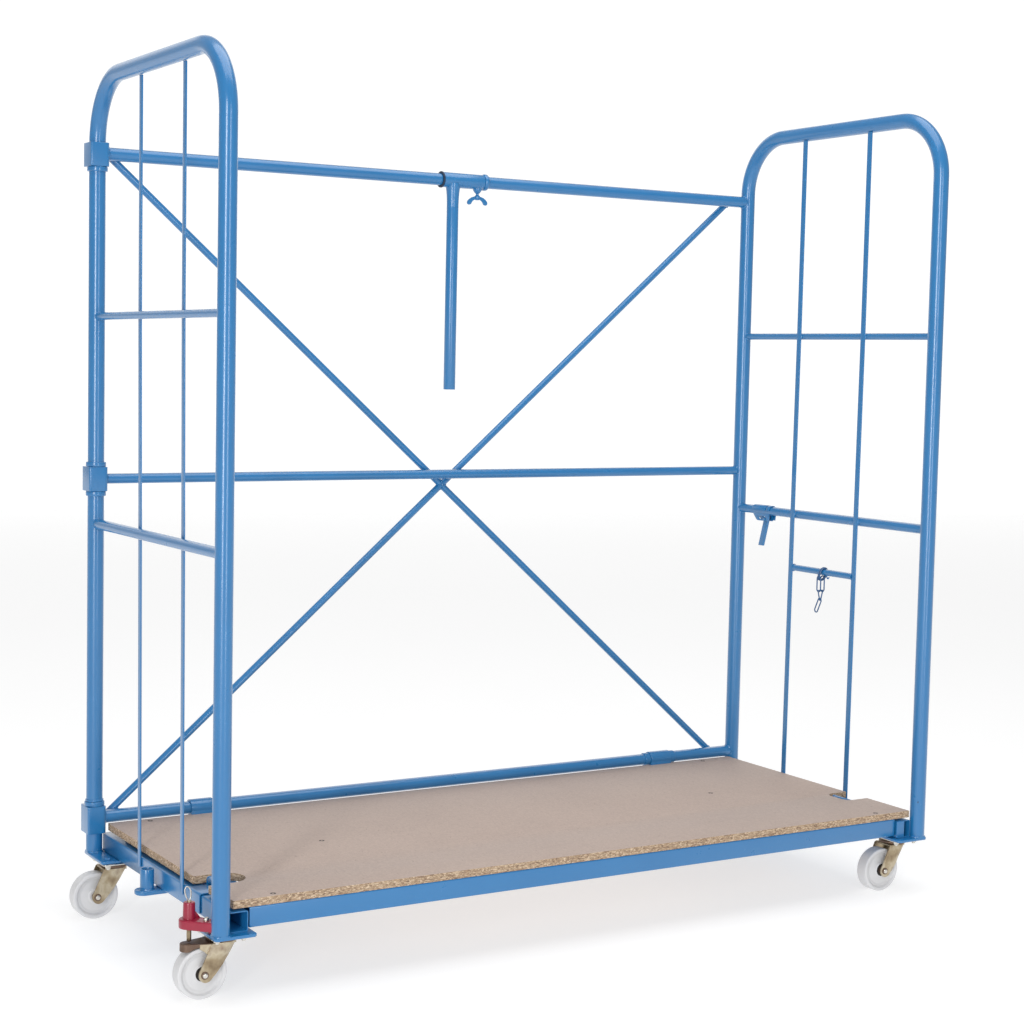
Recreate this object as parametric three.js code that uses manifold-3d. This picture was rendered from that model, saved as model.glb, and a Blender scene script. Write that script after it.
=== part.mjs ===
// Furniture roll cage: two tubular end walls, a braced back, a folding deck board and four castors.
// Millimetres, +Z up, +X along the length, +Y towards the braced back.
import * as THREE from "three";
import { mergeVertices } from "three/addons/utils/BufferGeometryUtils.js";
import Module from "manifold-3d";

const wasm = await Module();
wasm.setup();

// Driving dimensions of the whole cage
const cageHeight = 1800;
const wallSpacing = 1732;
const uprightSpacing = 705;
const plateTop = 130;
const gap = 0.3;
const overrun = 5;

// Tube series, from the end hoops down to the light bars
const hoopDiameter = 35;
const hoopWall = 2;
const hoopBend = 135;
const railDiameter = 28;
const railWall = 1.5;
const midDiameter = 22;
const midWall = 1.5;
const barDiameter = 16;
const barWall = 1.5;
const hoopSides = 16;
const railSides = 16;
const midSides = 12;
const barSides = 12;
const bendSteps = 8;

// Heights of the cross members
const backTopDrop = 21.75;
const backMidHeight = 940;
const hingeAxisRise = 13;
const upperBarDrop = 496.5;
const midRailHeight = 844;
const chainBarDrop = 133;

// Flat rods in the middle of each end wall
const rodSpacing = 236;
const rodWidth = 15;
const rodThickness = 3;
const rodFoot = 20;

// Square beams at the foot of the end walls
const beamSize = 40;
const beamWall = 2;
const beamCorner = 3;
const beamEndInset = 4.5;

// Back braces: how far inside the wall's middle each one meets the top and the bottom tube
const fallingTopInset = 29.4;
const fallingBottomInset = 58.6;
const risingTopInset = 49.5;
const risingBottomInset = 33;
const braceReach = 10;

// Castor plates
const plateThickness = 6;
const plateWidth = 86;
const plateDepth = 119;
const plateCorner = 6;

// Castors
const mountThickness = 3;
const mountWidth = 80;
const mountDepth = 104;
const raceDiameter = 62;
const raceNeckDiameter = 50;
const raceDrop = 12;
const castorInset = 42.5;
const castorSetback = 71;
const crownThickness = 4;
const crownFront = 24;
const crownBack = 30;
const trail = 44;
const wheelDiameter = 100;
const wheelWidth = 30;
const wheelSides = 24;
const hubClearance = 3;
const hubDiameter = 30;
const rimDiameter = 84;
const rimRecess = 5;
const treadChamfer = 3;
const legThickness = 3;
const legFoot = 12;
const legGap = 3;
const axleDiameter = 10;
const axleHead = 16;
const axleHeadThickness = 5;
const earReach = 63;
const earRadius = 11;

// Hinge sleeves round the rear left upright
const sleeveSize = 42;
const sleeveBack = 28.5;
const sleeveCorner = 9;
const sleeveEdge = 3;
const topSleeveHeight = 50;
const topSleeveRise = 3.25;
const midSleeveHeight = 52;
const bottomSleeveDrop = 32;
const bottomSleeveHeight = 59;
const stopRingDiameter = 43;
const stopRingHeight = 10;
const stopStepDiameter = 39;
const stopStepHeight = 5;

// Deck: chipboard on a frame of channels
const boardLeftInset = 28;
const boardRightInset = 22;
const boardFrontInset = 7.5;
const boardBackInset = 17.5;
const boardThickness = 16;
const boardLift = 45;
const channelHeight = 40;
const channelWidth = 30;
const channelWall = 3;
const frameClearance = 4.2;
const sideRailInset = 9;
const sideRailWidth = 40;
const crossMember = 515;
const crossWidth = 32;
const crossHeight = 28;
const rightNotchCorner = 20;

// Deck hinges on the bottom tube
const hingeBarrel = 36;
const leftHingeX = -621.5;
const leftHingeLength = 53;
const rightHingeX = 628.5;
const rightHingeLength = 61;
const hingeCollarWidth = 15;
const hingeCollarDiameter = 32;
const hingeLugDepth = 12;
const hingeLugInset = 3;

// Notches of the board and the latches in them
const leftNotchY = -186.5;
const leftNotchWidth = 77;
const leftNotchDepth = 90;
const leftLatchShift = 1.5;
const rightNotchY = -162;
const rightNotchWidth = 76;
const rightNotchDepth = 60;
const latchWidth = 58;
const latchSheet = 3;
const latchEye = 13;
const latchPin = 6;
const latchAxisInset = 2.4;
const latchAxisRise = 12;
const latchRest = 1;
const latchLeg = 37;
const latchEarThickness = 3;
const latchEarRadius = 7;
const latchSideClearance = 0.8;

// Direction lock on the front left castor
const lockRim = 22;
const lockWidth = 32;
const lockHeight = 25;
const lockStandoff = 3.8;
const lockShift = 1;
const lockCorner = 9;
const lockBossDiameter = 22;
const lockBossHeight = 32;
const lockPinDiameter = 8;
const lockPinLift = 1.3;
const lockLoopHeight = 30;
const lockLoopWidth = 24;
const lockLoopWire = 4;

// Coupling socket on the left wall
const socketStandoff = 23.8;
const socketY = 15;
const socketDiameter = 25;
const socketWall = 3;
const socketHeight = 42;
const flangeThickness = 4;
const flangeReach = 21;
const flangeRoot = 48;
const flangeWidth = 35;

// Support arm that slides and swings on the top tube
const armX = 1;
const armHang = 489;
const armDiameter = 28;
const armWall = 1.5;
const armSleeveFrom = -26;
const armSleeveTo = 89;
const bushWall = 1;
const bushFlangeThickness = 6;
const bushFlangeDiameter = 38;
const armSleeveWall = 1.6;
const armFlare = 5;
const armFlareHeight = 14;
const wingInset = 27;
const wingBossTop = 20;
const wingBossFoot = 14;
const wingBossDrop = 12;
const wingStem = 8;
const wingSpan = 50;
const wingHeight = 28;
const wingThickness = 5;
const wingHub = 15;
const wingNeck = 6;
const wingHubHeightShare = 1 / 3;
const wingLobeShare = 1 / 4;

// Catch on the right mid rail
const catchSetback = 55.5;
const catchLength = 77;
const catchSheet = 2.5;
const catchDrop = 30;
const catchPinInset = 15;
const catchPinDrop = 22;
const catchPin = 6;
const catchSlotLength = 34;
const catchSlotHeight = 7;
const leverLength = 60;
const leverWidth = 15;
const leverThickness = 5;
const leverTilt = THREE.MathUtils.degToRad(16);

// Chain on the bar of the right wall
const chainBarInset = 9;
const chainY = -5;
const ringWire = 3;
const ringInner = 9;
const ringDrop = 8;
const linkWire = 2.4;
const linkOuterWidth = 9;
const linkOuterLength = 36;
const linkSpacing = 7.6;
const pearLength = 24;
const pearBottomWidth = 8;
const endLinkLength = 43;
const endLinkTilt = THREE.MathUtils.degToRad(30);
const chainSides = 6;

// Values that follow from the sizes above
const wallX = wallSpacing / 2;
const backY = uprightSpacing / 2;
const hoopRadius = hoopDiameter / 2;
const railRadius = railDiameter / 2;
const midRadius = midDiameter / 2;
const barRadius = barDiameter / 2;
const hoopTop = cageHeight - hoopRadius;
const topSleeveTop = hoopTop - hoopBend + topSleeveRise;
const backTopHeight = topSleeveTop - backTopDrop;
const upperBarHeight = hoopTop - upperBarDrop;
const beamOuter = wallX - hoopRadius - gap;
const beamInner = beamOuter - beamSize;
const beamTop = plateTop + beamSize;
const beamLength = uprightSpacing - 2 * beamEndInset;
const plateOuter = wallX + hoopRadius;
const plateBack = backY + hoopRadius;
const castorX = plateOuter - castorInset;
const castorY = plateBack - castorSetback;
const plateFoot = plateTop - plateThickness;
const mountFoot = plateFoot - mountThickness;
const raceFoot = mountFoot - raceDrop;
const crownTop = raceFoot - gap;
const wheelRadius = wheelDiameter / 2;
const rodY = rodSpacing / 2;
const braceY = backY + midRadius + gap + barRadius;
const boardLeft = wallX - boardLeftInset;
const boardRight = wallX - boardRightInset;
const boardFront = backY - boardFrontInset;
const boardBack = backY - boardBackInset;
const frameHalfLength = beamInner - frameClearance;
const boardFoot = plateTop + boardLift;
const boardTop = boardFoot + boardThickness;
const backBottomHeight = boardTop + hingeAxisRise;
const bottomSleeveFoot = backBottomHeight - bottomSleeveDrop;
const chainBarHeight = midRailHeight - chainBarDrop;
const channelFoot = boardFoot - channelHeight;
const leftNotch = notch(leftNotchY, leftNotchWidth, boardLeft - leftNotchDepth, leftNotchY + leftLatchShift);
const rightNotch = notch(rightNotchY, rightNotchWidth, boardRight - rightNotchDepth, rightNotchY);
const socketX = -beamOuter - socketStandoff;
const wingX = armSleeveTo - wingInset;
const armFoot = backTopHeight - armHang;
const catchBack = backY - catchSetback;
const catchFront = catchBack - catchLength;
const catchPinY = catchFront + catchPinInset;
const chainBarX = wallX - chainBarInset;

function notch(y, width, tip, latchY) {
  return { front: y - width / 2, back: y + width / 2, tip, latch: latchY };
}

// Shapes: point loops, extrusions along an axis, and sweeps along a route

const circleShape = (radius, sides) => loop(arc(0, 0, radius, 0, 2 * Math.PI, sides).slice(0, sides));

// Points on an arc about (cx, cy), both ends included.
function arc(cx, cy, radius, from, to, steps) {
  return Array.from({ length: steps + 1 }, (_, i) => {
    const a = from + ((to - from) * i) / steps;
    return new THREE.Vector2(cx + radius * Math.cos(a), cy + radius * Math.sin(a));
  });
}

function loop(points, holes = []) {
  const shape = new THREE.Shape(points);
  shape.holes = holes.map((h) => new THREE.Path(h.getPoints()));
  return shape;
}

function ringShape(outer, inner, sides) {
  return loop(circleShape(outer, sides).getPoints(), [circleShape(inner, sides)]);
}

function boxShape(x0, y0, x1, y1) {
  return loop([
    new THREE.Vector2(x0, y0),
    new THREE.Vector2(x1, y0),
    new THREE.Vector2(x1, y1),
    new THREE.Vector2(x0, y1),
  ]);
}

// A rectangle whose four corners have their own radii: lower left, lower right, upper right, upper left.
function roundedShape(x0, y0, x1, y1, radii, steps = 3) {
  const [a, b, c, d] = radii;
  const turn = Math.PI / 2;
  return loop([
    ...arc(x0 + a, y0 + a, a, 2 * turn, 3 * turn, steps),
    ...arc(x1 - b, y0 + b, b, 3 * turn, 4 * turn, steps),
    ...arc(x1 - c, y1 - c, c, 0, turn, steps),
    ...arc(x0 + d, y1 - d, d, turn, 2 * turn, steps),
  ]);
}

// A long hole or link outline: two straight sides along y and a half round at each end.
function stadiumShape(width, length, steps) {
  const r = width / 2;
  const h = length / 2 - r;
  return loop([...arc(0, h, r, 0, Math.PI, steps), ...arc(0, -h, r, Math.PI, 2 * Math.PI, steps)]);
}

const X = new THREE.Vector3(1, 0, 0);
const Y = new THREE.Vector3(0, 1, 0);
const Z = new THREE.Vector3(0, 0, 1);
const ends = new Map([
  [X, new THREE.Matrix4().makeBasis(Y, Z, X)],
  [Y, new THREE.Matrix4().makeBasis(X, Z, Y.clone().negate())],
  [Z, new THREE.Matrix4()],
]);

// The closed solid of a geometry, with its shared points merged and its faces turned outwards.
const mergeDistance = gap / 1000;
function solid(geometry) {
  const bare = new THREE.BufferGeometry();
  bare.setAttribute("position", geometry.getAttribute("position"));
  if (geometry.index) bare.setIndex(geometry.index);
  const merged = mergeVertices(bare, mergeDistance);
  const vertProperties = merged.getAttribute("position").array;
  const triVerts = new Uint32Array(merged.index.array);
  const made = new wasm.Manifold(new wasm.Mesh({ numProp: 3, vertProperties, triVerts }));
  if (made.volume() > 0) return made;
  return new wasm.Manifold(new wasm.Mesh({ numProp: 3, vertProperties, triVerts: triVerts.reverse() }));
}

// A section carried along an axis, then moved to its place. Along X the section is drawn in (y, z),
// along Y in (x, z) and along Z in (x, y).
function extrude(shape, axis, from, to, at = [0, 0, 0]) {
  const geometry = new THREE.ExtrudeGeometry(shape, { depth: to - from, bevelEnabled: false });
  geometry.translate(0, 0, axis === Y ? -to : from);
  geometry.applyMatrix4(ends.get(axis));
  geometry.translate(...at);
  return solid(geometry);
}

function bar(radius, axis, from, to, sides, at) {
  return extrude(circleShape(radius, sides), axis, from, to, at);
}

function tube(radius, wall, axis, from, to, sides, at) {
  return extrude(ringShape(radius, radius - wall, sides), axis, from, to, at);
}

function block(x0, x1, y0, y1, z0, z1) {
  return extrude(boxShape(Math.min(x0, x1), y0, Math.max(x0, x1), y1), Z, z0, z1);
}

// A profile of (radius, height) points turned about the vertical through a place.
function turned(profile, sides, at) {
  const closed = [...profile, profile[0]].map(([r, h]) => new THREE.Vector2(r, h));
  const geometry = new THREE.LatheGeometry(closed, sides, Math.PI / sides);
  geometry.rotateX(Math.PI / 2);
  geometry.translate(...at);
  return solid(geometry);
}

const join = (...pieces) => pieces.reduce((whole, p) => whole.add(p));
const cut = (whole, ...tools) => tools.reduce((rest, t) => rest.subtract(t), whole);

// A bored hole that clears a round of this radius whichever way its sides are turned.
const clearing = (radius, sides, clearance = gap) => (radius + clearance) / Math.cos(Math.PI / sides);

// A route through chosen points: a sweep takes exactly these, with the mean direction at each.
class Route extends THREE.Curve {
  constructor(points) {
    super();
    this.points = points;
  }
  index(u) {
    return Math.round(u * (this.points.length - 1));
  }
  getPoint(u, target = new THREE.Vector3()) {
    return target.copy(this.points[this.index(u)]);
  }
  getPointAt(u, target) {
    return this.getPoint(u, target);
  }
  getTangentAt(u, target = new THREE.Vector3()) {
    const last = this.points.length - 1;
    const i = this.index(u);
    const before = this.points[Math.max(i - 1, 0)];
    const here = this.points[i];
    const after = this.points[Math.min(i + 1, last)];
    const ahead = after.clone().sub(here).normalize();
    const behind = here.clone().sub(before).normalize();
    return target.copy(ahead.add(behind).normalize());
  }
  getTangent(u, target) {
    return this.getTangentAt(u, target);
  }
}

function sweep(shape, points) {
  const extrudePath = new Route(points);
  const steps = points.length - 1;
  return solid(new THREE.ExtrudeGeometry(shape, { steps, extrudePath, bevelEnabled: false }));
}

// A closed ring of round wire. The middle line lies in a plane, given by its normal.
function wireRing(points, normal, radius, sides, at) {
  const n = points.length;
  const positions = [];
  const index = [];
  points.forEach((p, i) => {
    const along = points[(i + 1) % n].clone().sub(points[(i + n - 1) % n]).normalize();
    const across = along.cross(normal);
    for (let k = 0; k < sides; k += 1) {
      const a = (2 * Math.PI * k) / sides;
      const rim = p.clone().addScaledVector(across, radius * Math.cos(a));
      rim.addScaledVector(normal, radius * Math.sin(a));
      positions.push(rim.x + at[0], rim.y + at[1], rim.z + at[2]);
      const here = i * sides + k;
      const beside = i * sides + ((k + 1) % sides);
      const next = ((i + 1) % n) * sides + k;
      const nextBeside = ((i + 1) % n) * sides + ((k + 1) % sides);
      index.push(here, beside, next, next, beside, nextBeside);
    }
  });
  const geometry = new THREE.BufferGeometry();
  geometry.setAttribute("position", new THREE.BufferAttribute(new Float32Array(positions), 3));
  geometry.setIndex(index);
  return solid(geometry);
}

// Nodes: one named mesh for each piece, drawn in its group's own frame
function piece(name, shape, material, group) {
  const made = shape.getMesh();
  const geometry = new THREE.BufferGeometry();
  geometry.setAttribute("position", new THREE.BufferAttribute(new Float32Array(made.vertProperties), 3));
  geometry.setIndex(new THREE.BufferAttribute(new Uint32Array(made.triVerts), 1));
  geometry.translate(-group.position.x, -group.position.y, -group.position.z);
  geometry.computeVertexNormals();
  const node = new THREE.Mesh(geometry, material);
  node.name = name;
  group.add(node);
  return node;
}

function finish(colour, roughness, metalness) {
  return new THREE.MeshStandardMaterial({ color: new THREE.Color(...colour), roughness, metalness });
}

const blue = finish([0.07, 0.24, 0.54], 0.4, 0.1);
const zinc = finish([0.62, 0.6, 0.55], 0.35, 0.9);
const goldZinc = finish([0.66, 0.58, 0.38], 0.35, 0.9);
const nylon = finish([0.78, 0.78, 0.8], 0.5, 0);
const chipboard = finish([0.48, 0.38, 0.32], 0.7, 0);
const red = finish([0.36, 0.02, 0.06], 0.45, 0.1);
const plasticLiner = finish([0.05, 0.05, 0.06], 0.6, 0);

// The frame in the middle of everything, and a group at the pivot of each moving assembly
function assembly(parent, x = 0, y = 0, z = 0) {
  const group = new THREE.Group();
  group.position.set(x, y, z);
  parent.add(group);
  return group;
}

const cage = new THREE.Group();
const leftWall = assembly(cage);
const deck = assembly(cage);

const hoopClearance = clearing(hoopRadius, hoopSides, 0);
function uprightClearance(side, y) {
  return bar(hoopClearance + gap, Z, 0, cageHeight, hoopSides, [side * wallX, y, 0]);
}

// End walls: hoop, rails, rods, beam and plates. Side is 1 on the right and -1 on the left.

function hoopRoute(side) {
  const straight = backY - hoopBend;
  const bendFoot = hoopTop - hoopBend;
  const at = (y, z) => new THREE.Vector3(side * wallX, y, z);
  const front = arc(-straight, bendFoot, hoopBend, Math.PI, Math.PI / 2, bendSteps);
  const back = arc(straight, bendFoot, hoopBend, Math.PI / 2, 0, bendSteps);
  const bends = [...front, ...back].map((p) => at(p.x, p.y));
  return [at(-backY, plateTop), ...bends, at(backY, plateTop)];
}

function hoop(side) {
  return sweep(ringShape(hoopRadius, hoopRadius - hoopWall, hoopSides), hoopRoute(side));
}

function stopRing(from, to, diameter) {
  const wall = diameter / 2 - hoopRadius + hoopWall / 2;
  return tube(diameter / 2, wall, Z, from, to, hoopSides, [-wallX, backY, 0]);
}

const topSleeveFoot = topSleeveTop - topSleeveHeight;
const midSleeveFoot = backMidHeight - midSleeveHeight / 2;
const midSleeveTop = midSleeveFoot + midSleeveHeight;
const bottomSleeveTop = bottomSleeveFoot + bottomSleeveHeight;

// The left hoop turns in the sleeves and carries a stop ring beside each of them.
function leftHoop() {
  const bottomStep = bottomSleeveTop + gap + stopRingHeight;
  return join(
    hoop(-1),
    stopRing(topSleeveFoot - gap - stopRingHeight, topSleeveFoot - gap, stopRingDiameter),
    stopRing(midSleeveTop + gap, midSleeveTop + gap + stopRingHeight, stopRingDiameter),
    stopRing(midSleeveFoot - gap - stopRingHeight, midSleeveFoot - gap, stopRingDiameter),
    stopRing(bottomSleeveTop + gap, bottomStep, stopRingDiameter),
    stopRing(bottomStep, bottomStep + stopStepHeight, stopStepDiameter),
  );
}

function wallBar(side, radius, wall, sides, height) {
  const whole = tube(radius, wall, Y, -backY, backY, sides, [side * wallX, 0, height]);
  return cut(whole, uprightClearance(side, -backY), uprightClearance(side, backY));
}

// Centre line of a rod: against the top tube, the bar, the rail and the beam in turn.
function rodLine() {
  const half = rodThickness / 2;
  const atBeam = beamOuter + gap + half;
  const atRail = wallX - midRadius - gap - half;
  const atBar = wallX - barRadius - gap - half;
  return [
    [atBeam, beamTop - rodFoot],
    [atBeam, beamTop],
    [atRail, midRailHeight],
    [atBar, upperBarHeight],
    [atBar + half / 2, hoopTop],
  ];
}

function wallRod(side, end) {
  const half = rodThickness / 2;
  const line = rodLine();
  const outer = line.map(([x, z]) => new THREE.Vector2(side * (x + half), z));
  const inner = line.map(([x, z]) => new THREE.Vector2(side * (x - half), z)).reverse();
  const from = end * rodY - rodWidth / 2;
  const whole = extrude(loop([...outer, ...inner]), Y, from, from + rodWidth);
  const topTube = bar(hoopClearance + gap, Y, -backY, backY, hoopSides, [side * wallX, 0, hoopTop]);
  return cut(whole, topTube);
}

const latchAxisX = beamInner - latchAxisInset;
const latchAxisZ = beamTop + latchAxisRise;
const latchHalf = latchWidth / 2;
const earInner = latchHalf + latchSideClearance;

// One ear of a latch: round about the pin, and rooted in the inner side of the beam.
function latchEar(side, from, to) {
  const root = beamInner + beamWall / 2;
  const deep = beamTop - beamSize / 2;
  const corners = [
    ...arc(latchAxisX, latchAxisZ, latchEarRadius, 0, Math.PI, 6),
    new THREE.Vector2(latchAxisX - latchEarRadius + gap, beamTop),
    new THREE.Vector2(beamInner - beamWall / 2, deep),
    new THREE.Vector2(root, deep),
    new THREE.Vector2(root, beamTop - beamWall / 2),
    new THREE.Vector2(latchAxisX + latchEarRadius, beamTop - beamWall / 2),
  ];
  return extrude(loop(corners.map((p) => new THREE.Vector2(side * p.x, p.y))), Y, from, to);
}

// A beam with the two ears and the pin of its latch.
function endBeam(side, latchY) {
  const half = beamSize / 2;
  const bore = half - beamWall;
  const outline = roundedShape(-half, -half, half, half, Array(4).fill(beamCorner));
  const hollow = boxShape(-bore, -bore, bore, bore);
  const section = loop(outline.getPoints(), [hollow]);
  const centre = [side * (beamInner + half), 0, plateTop + half];
  const pinReach = earInner + latchEarThickness / 2;
  const pinAt = [side * latchAxisX, latchY, latchAxisZ];
  return join(
    extrude(section, Y, -beamLength / 2, beamLength / 2, centre),
    latchEar(side, latchY - earInner - latchEarThickness, latchY - earInner),
    latchEar(side, latchY + earInner, latchY + earInner + latchEarThickness),
    bar(latchPin / 2, Y, -pinReach, pinReach, barSides, pinAt),
  );
}

// The latch: an eye on the pin, a riser, a strap over the beam and a leg down its outer side.
function latch(side, latchY) {
  const strapFoot = beamTop + latchRest;
  const strapTop = strapFoot + latchSheet;
  const legInner = beamOuter + latchRest;
  const legOuter = legInner + latchSheet;
  const riser = latchSheet;
  const from = latchY - latchHalf;
  const to = latchY + latchHalf;
  const eyeAt = [side * latchAxisX, 0, latchAxisZ];
  const eye = bar(latchEye / 2, Y, from, to, midSides, eyeAt);
  const hole = bar(clearing(latchPin / 2, barSides), Y, from - gap, to + gap, barSides, eyeAt);
  const web = block(side * (latchAxisX - riser), side * (latchAxisX + riser), from, to, strapFoot, latchAxisZ);
  const strap = block(side * (latchAxisX - riser), side * legOuter, from, to, strapFoot, strapTop);
  const leg = block(side * legInner, side * legOuter, from, to, strapFoot - latchLeg, strapTop);
  return cut(join(eye, web, strap, leg), hole);
}

function cornerPlate(side, end) {
  const inner = plateOuter - plateWidth;
  const near = plateBack - plateDepth;
  const x = [side * inner, side * plateOuter].sort((a, b) => a - b);
  const y = [end * near, end * plateBack].sort((a, b) => a - b);
  const radii = [plateCorner, plateCorner, plateCorner, plateCorner];
  return extrude(roundedShape(x[0], y[0], x[1], y[1], radii), Z, plateFoot, plateTop);
}

// The fixed head of a castor: its bolted plate and the ball race under it.
function castorHead(side, end) {
  const at = [side * castorX, end * castorY, 0];
  const w = mountWidth / 2;
  const d = mountDepth / 2;
  const radii = [plateCorner, plateCorner, plateCorner, plateCorner];
  const plate = extrude(roundedShape(-w, -d, w, d, radii), Z, mountFoot, plateFoot, at);
  const waist = raceFoot + raceDrop / 2;
  const race = turned(
    [
      [0, raceFoot],
      [raceDiameter / 2, raceFoot],
      [raceDiameter / 2, waist],
      [raceNeckDiameter / 2, mountFoot + mountThickness / 2],
      [0, mountFoot + mountThickness / 2],
    ],
    wheelSides / 2,
    at,
  );
  return join(plate, race);
}

piece("right_hoop", hoop(1), blue, cage);
piece("right_upper_bar", wallBar(1, barRadius, barWall, barSides, upperBarHeight), blue, cage);
piece("right_mid_rail", wallBar(1, midRadius, midWall, midSides, midRailHeight), blue, cage);
piece("right_rear_rod", wallRod(1, 1), blue, cage);
piece("right_front_rod", wallRod(1, -1), blue, cage);
piece("right_end_beam", endBeam(1, rightNotch.latch), blue, cage);
piece("right_front_plate", cornerPlate(1, -1), blue, cage);
piece("right_rear_plate", cornerPlate(1, 1), blue, cage);
piece("right_front_castor_head", castorHead(1, -1), zinc, cage);
piece("right_rear_castor_head", castorHead(1, 1), zinc, cage);

const chainBarEnd = rodY - rodWidth / 2 - gap;
const chainBar = tube(barRadius, barWall, Y, -chainBarEnd, chainBarEnd, barSides, [chainBarX, 0, chainBarHeight]);
piece("chain_bar", chainBar, blue, cage);

piece("left_hoop", leftHoop(), blue, leftWall);
piece("left_upper_bar", wallBar(-1, barRadius, barWall, barSides, upperBarHeight), blue, leftWall);
piece("left_mid_rail", wallBar(-1, midRadius, midWall, midSides, midRailHeight), blue, leftWall);
piece("left_rear_rod", wallRod(-1, 1), blue, leftWall);
piece("left_front_rod", wallRod(-1, -1), blue, leftWall);
piece("left_end_beam", endBeam(-1, leftNotch.latch), blue, leftWall);
piece("left_front_plate", cornerPlate(-1, -1), blue, leftWall);
piece("left_rear_plate", cornerPlate(-1, 1), blue, leftWall);
piece("left_front_castor_head", castorHead(-1, -1), zinc, leftWall);
piece("left_rear_castor_head", castorHead(-1, 1), zinc, leftWall);

// Back: three tubes from the sleeves to the right upright, and two braces that cross behind them

const sleeveInner = wallX - sleeveSize / 2;

function sleeve(from, to) {
  const half = sleeveSize / 2;
  const radii = [sleeveEdge, sleeveCorner, sleeveEdge, sleeveEdge];
  const outline = roundedShape(-half, -half, half, sleeveBack, radii);
  const bore = circleShape(clearing(hoopRadius, hoopSides), hoopSides);
  return extrude(loop(outline.getPoints(), [bore]), Z, from, to, [-wallX, backY, 0]);
}

function backTube(radius, wall, sides, height) {
  const whole = tube(radius, wall, X, gap - sleeveInner, wallX, sides, [0, backY, height]);
  return cut(whole, uprightClearance(1, backY));
}

// The bottom tube has a collar on each side of the right deck hinge.
function backBottomTube() {
  const from = rightHingeX - rightHingeLength / 2;
  const to = rightHingeX + rightHingeLength / 2;
  const collar = (start, end) => {
    const radius = hingeCollarDiameter / 2;
    return tube(radius, radius - railRadius + railWall / 2, X, start, end, railSides, [0, backY, backBottomHeight]);
  };
  return join(
    backTube(railRadius, railWall, railSides, backBottomHeight),
    collar(from - gap - hingeCollarWidth, from - gap),
    collar(to + gap, to + gap + hingeCollarWidth),
  );
}

// A straight brace between two points of its plane, longer than needed at both ends.
function braceLine(topX, bottomX, radius) {
  const top = new THREE.Vector3(topX, braceY, backTopHeight);
  const bottom = new THREE.Vector3(bottomX, braceY, backBottomHeight);
  const run = top.clone().sub(bottom).normalize().multiplyScalar(railDiameter);
  return { points: [bottom.clone().sub(run), top.clone().add(run)], radius };
}

function braceBody({ points, radius }, hollow) {
  const shape = hollow ? ringShape(radius, radius - barWall, barSides) : circleShape(radius, barSides);
  return sweep(shape, points);
}

const falling = braceLine(fallingTopInset - wallX, wallX - fallingBottomInset, barRadius);
const rising = braceLine(wallX - risingTopInset, risingBottomInset - wallX, barRadius);
const around = (line) => braceBody({ ...line, radius: line.radius + gap }, false);

// Each brace ends on the back of the top and bottom tubes, clear of the sleeves. The rising one keeps
// the front half of the crossing and the falling one the back half.
function brace(line, other, keepsFront) {
  const far = wallSpacing;
  const deep = railDiameter * 2;
  const above = block(-far, far, 0, backY + deep, backTopHeight + braceReach, cageHeight);
  const below = block(-far, far, 0, backY + deep, -deep, backBottomHeight - braceReach);
  const beside = block(-far, gap - sleeveInner, 0, backY + deep, -deep, cageHeight);
  const saddle = clearing(railRadius, railSides);
  const topTube = bar(saddle, X, -far, far, railSides, [0, backY, backTopHeight]);
  const bottomTube = bar(saddle, X, -far, far, railSides, [0, backY, backBottomHeight]);
  const half = keepsFront
    ? block(-far, far, braceY - gap / 2, braceY + deep, 0, cageHeight)
    : block(-far, far, braceY - deep, braceY + gap / 2, 0, cageHeight);
  const lap = around(other).intersect(half);
  return cut(braceBody(line, true), above, below, beside, topTube, bottomTube, lap);
}

piece("back_top_tube", backTube(railRadius, railWall, railSides, backTopHeight), blue, cage);
piece("back_mid_bar", backTube(midRadius, midWall, midSides, backMidHeight), blue, cage);
piece("back_bottom_tube", backBottomTube(), blue, cage);
piece("rising_brace", brace(rising, falling, true), blue, cage);
piece("falling_brace", brace(falling, rising, false), blue, cage);
piece("top_sleeve", sleeve(topSleeveFoot, topSleeveTop), blue, cage);
piece("mid_sleeve", sleeve(midSleeveFoot, midSleeveTop), blue, cage);
piece("bottom_sleeve", sleeve(bottomSleeveFoot, bottomSleeveTop), blue, cage);

// Deck: board, frame and the two hinge barrels on the bottom tube

function deckBoard() {
  const left = rounded(-boardLeft, leftNotch.front, -leftNotch.tip, leftNotch.back);
  const right = rounded(rightNotch.tip, rightNotch.front, boardRight, rightNotch.back);
  return cut(block(-boardLeft, boardRight, -boardFront, boardBack, boardFoot, boardTop), left, right);
}

// A notch from the board's edge: the left one ends in a half round, the right one in two round corners.
function rounded(x0, y0, x1, y1) {
  const leftHand = x0 < 0;
  const corner = leftHand ? (y1 - y0) / 2 - gap : rightNotchCorner;
  const radii = leftHand ? [gap, corner, corner, gap] : [corner, gap, gap, corner];
  const outer = leftHand ? [x0 - overrun, x1] : [x0, x1 + overrun];
  return extrude(roundedShape(outer[0], y0, outer[1], y1, radii, 6), Z, boardFoot - overrun, boardTop + overrun);
}

// A channel section lying on its side: open towards +x, its web at x = 0.
function channelShape(width, height, wall, open) {
  const points = [
    [0, 0],
    [width, 0],
    [width, wall],
    [wall, wall],
    [wall, height - wall],
    [width, height - wall],
    [width, height],
    [0, height],
  ];
  return loop(points.map(([x, z]) => new THREE.Vector2(open * x, z)));
}

// An inverted trough: a cross member with its web under the board.
function troughShape(width, height, wall) {
  const half = width / 2;
  const points = [
    [-half, 0],
    [wall - half, 0],
    [wall - half, height - wall],
    [half - wall, height - wall],
    [half - wall, 0],
    [half, 0],
    [half, height],
    [-half, height],
  ];
  return loop(points.map(([x, z]) => new THREE.Vector2(x, z)));
}

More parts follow.
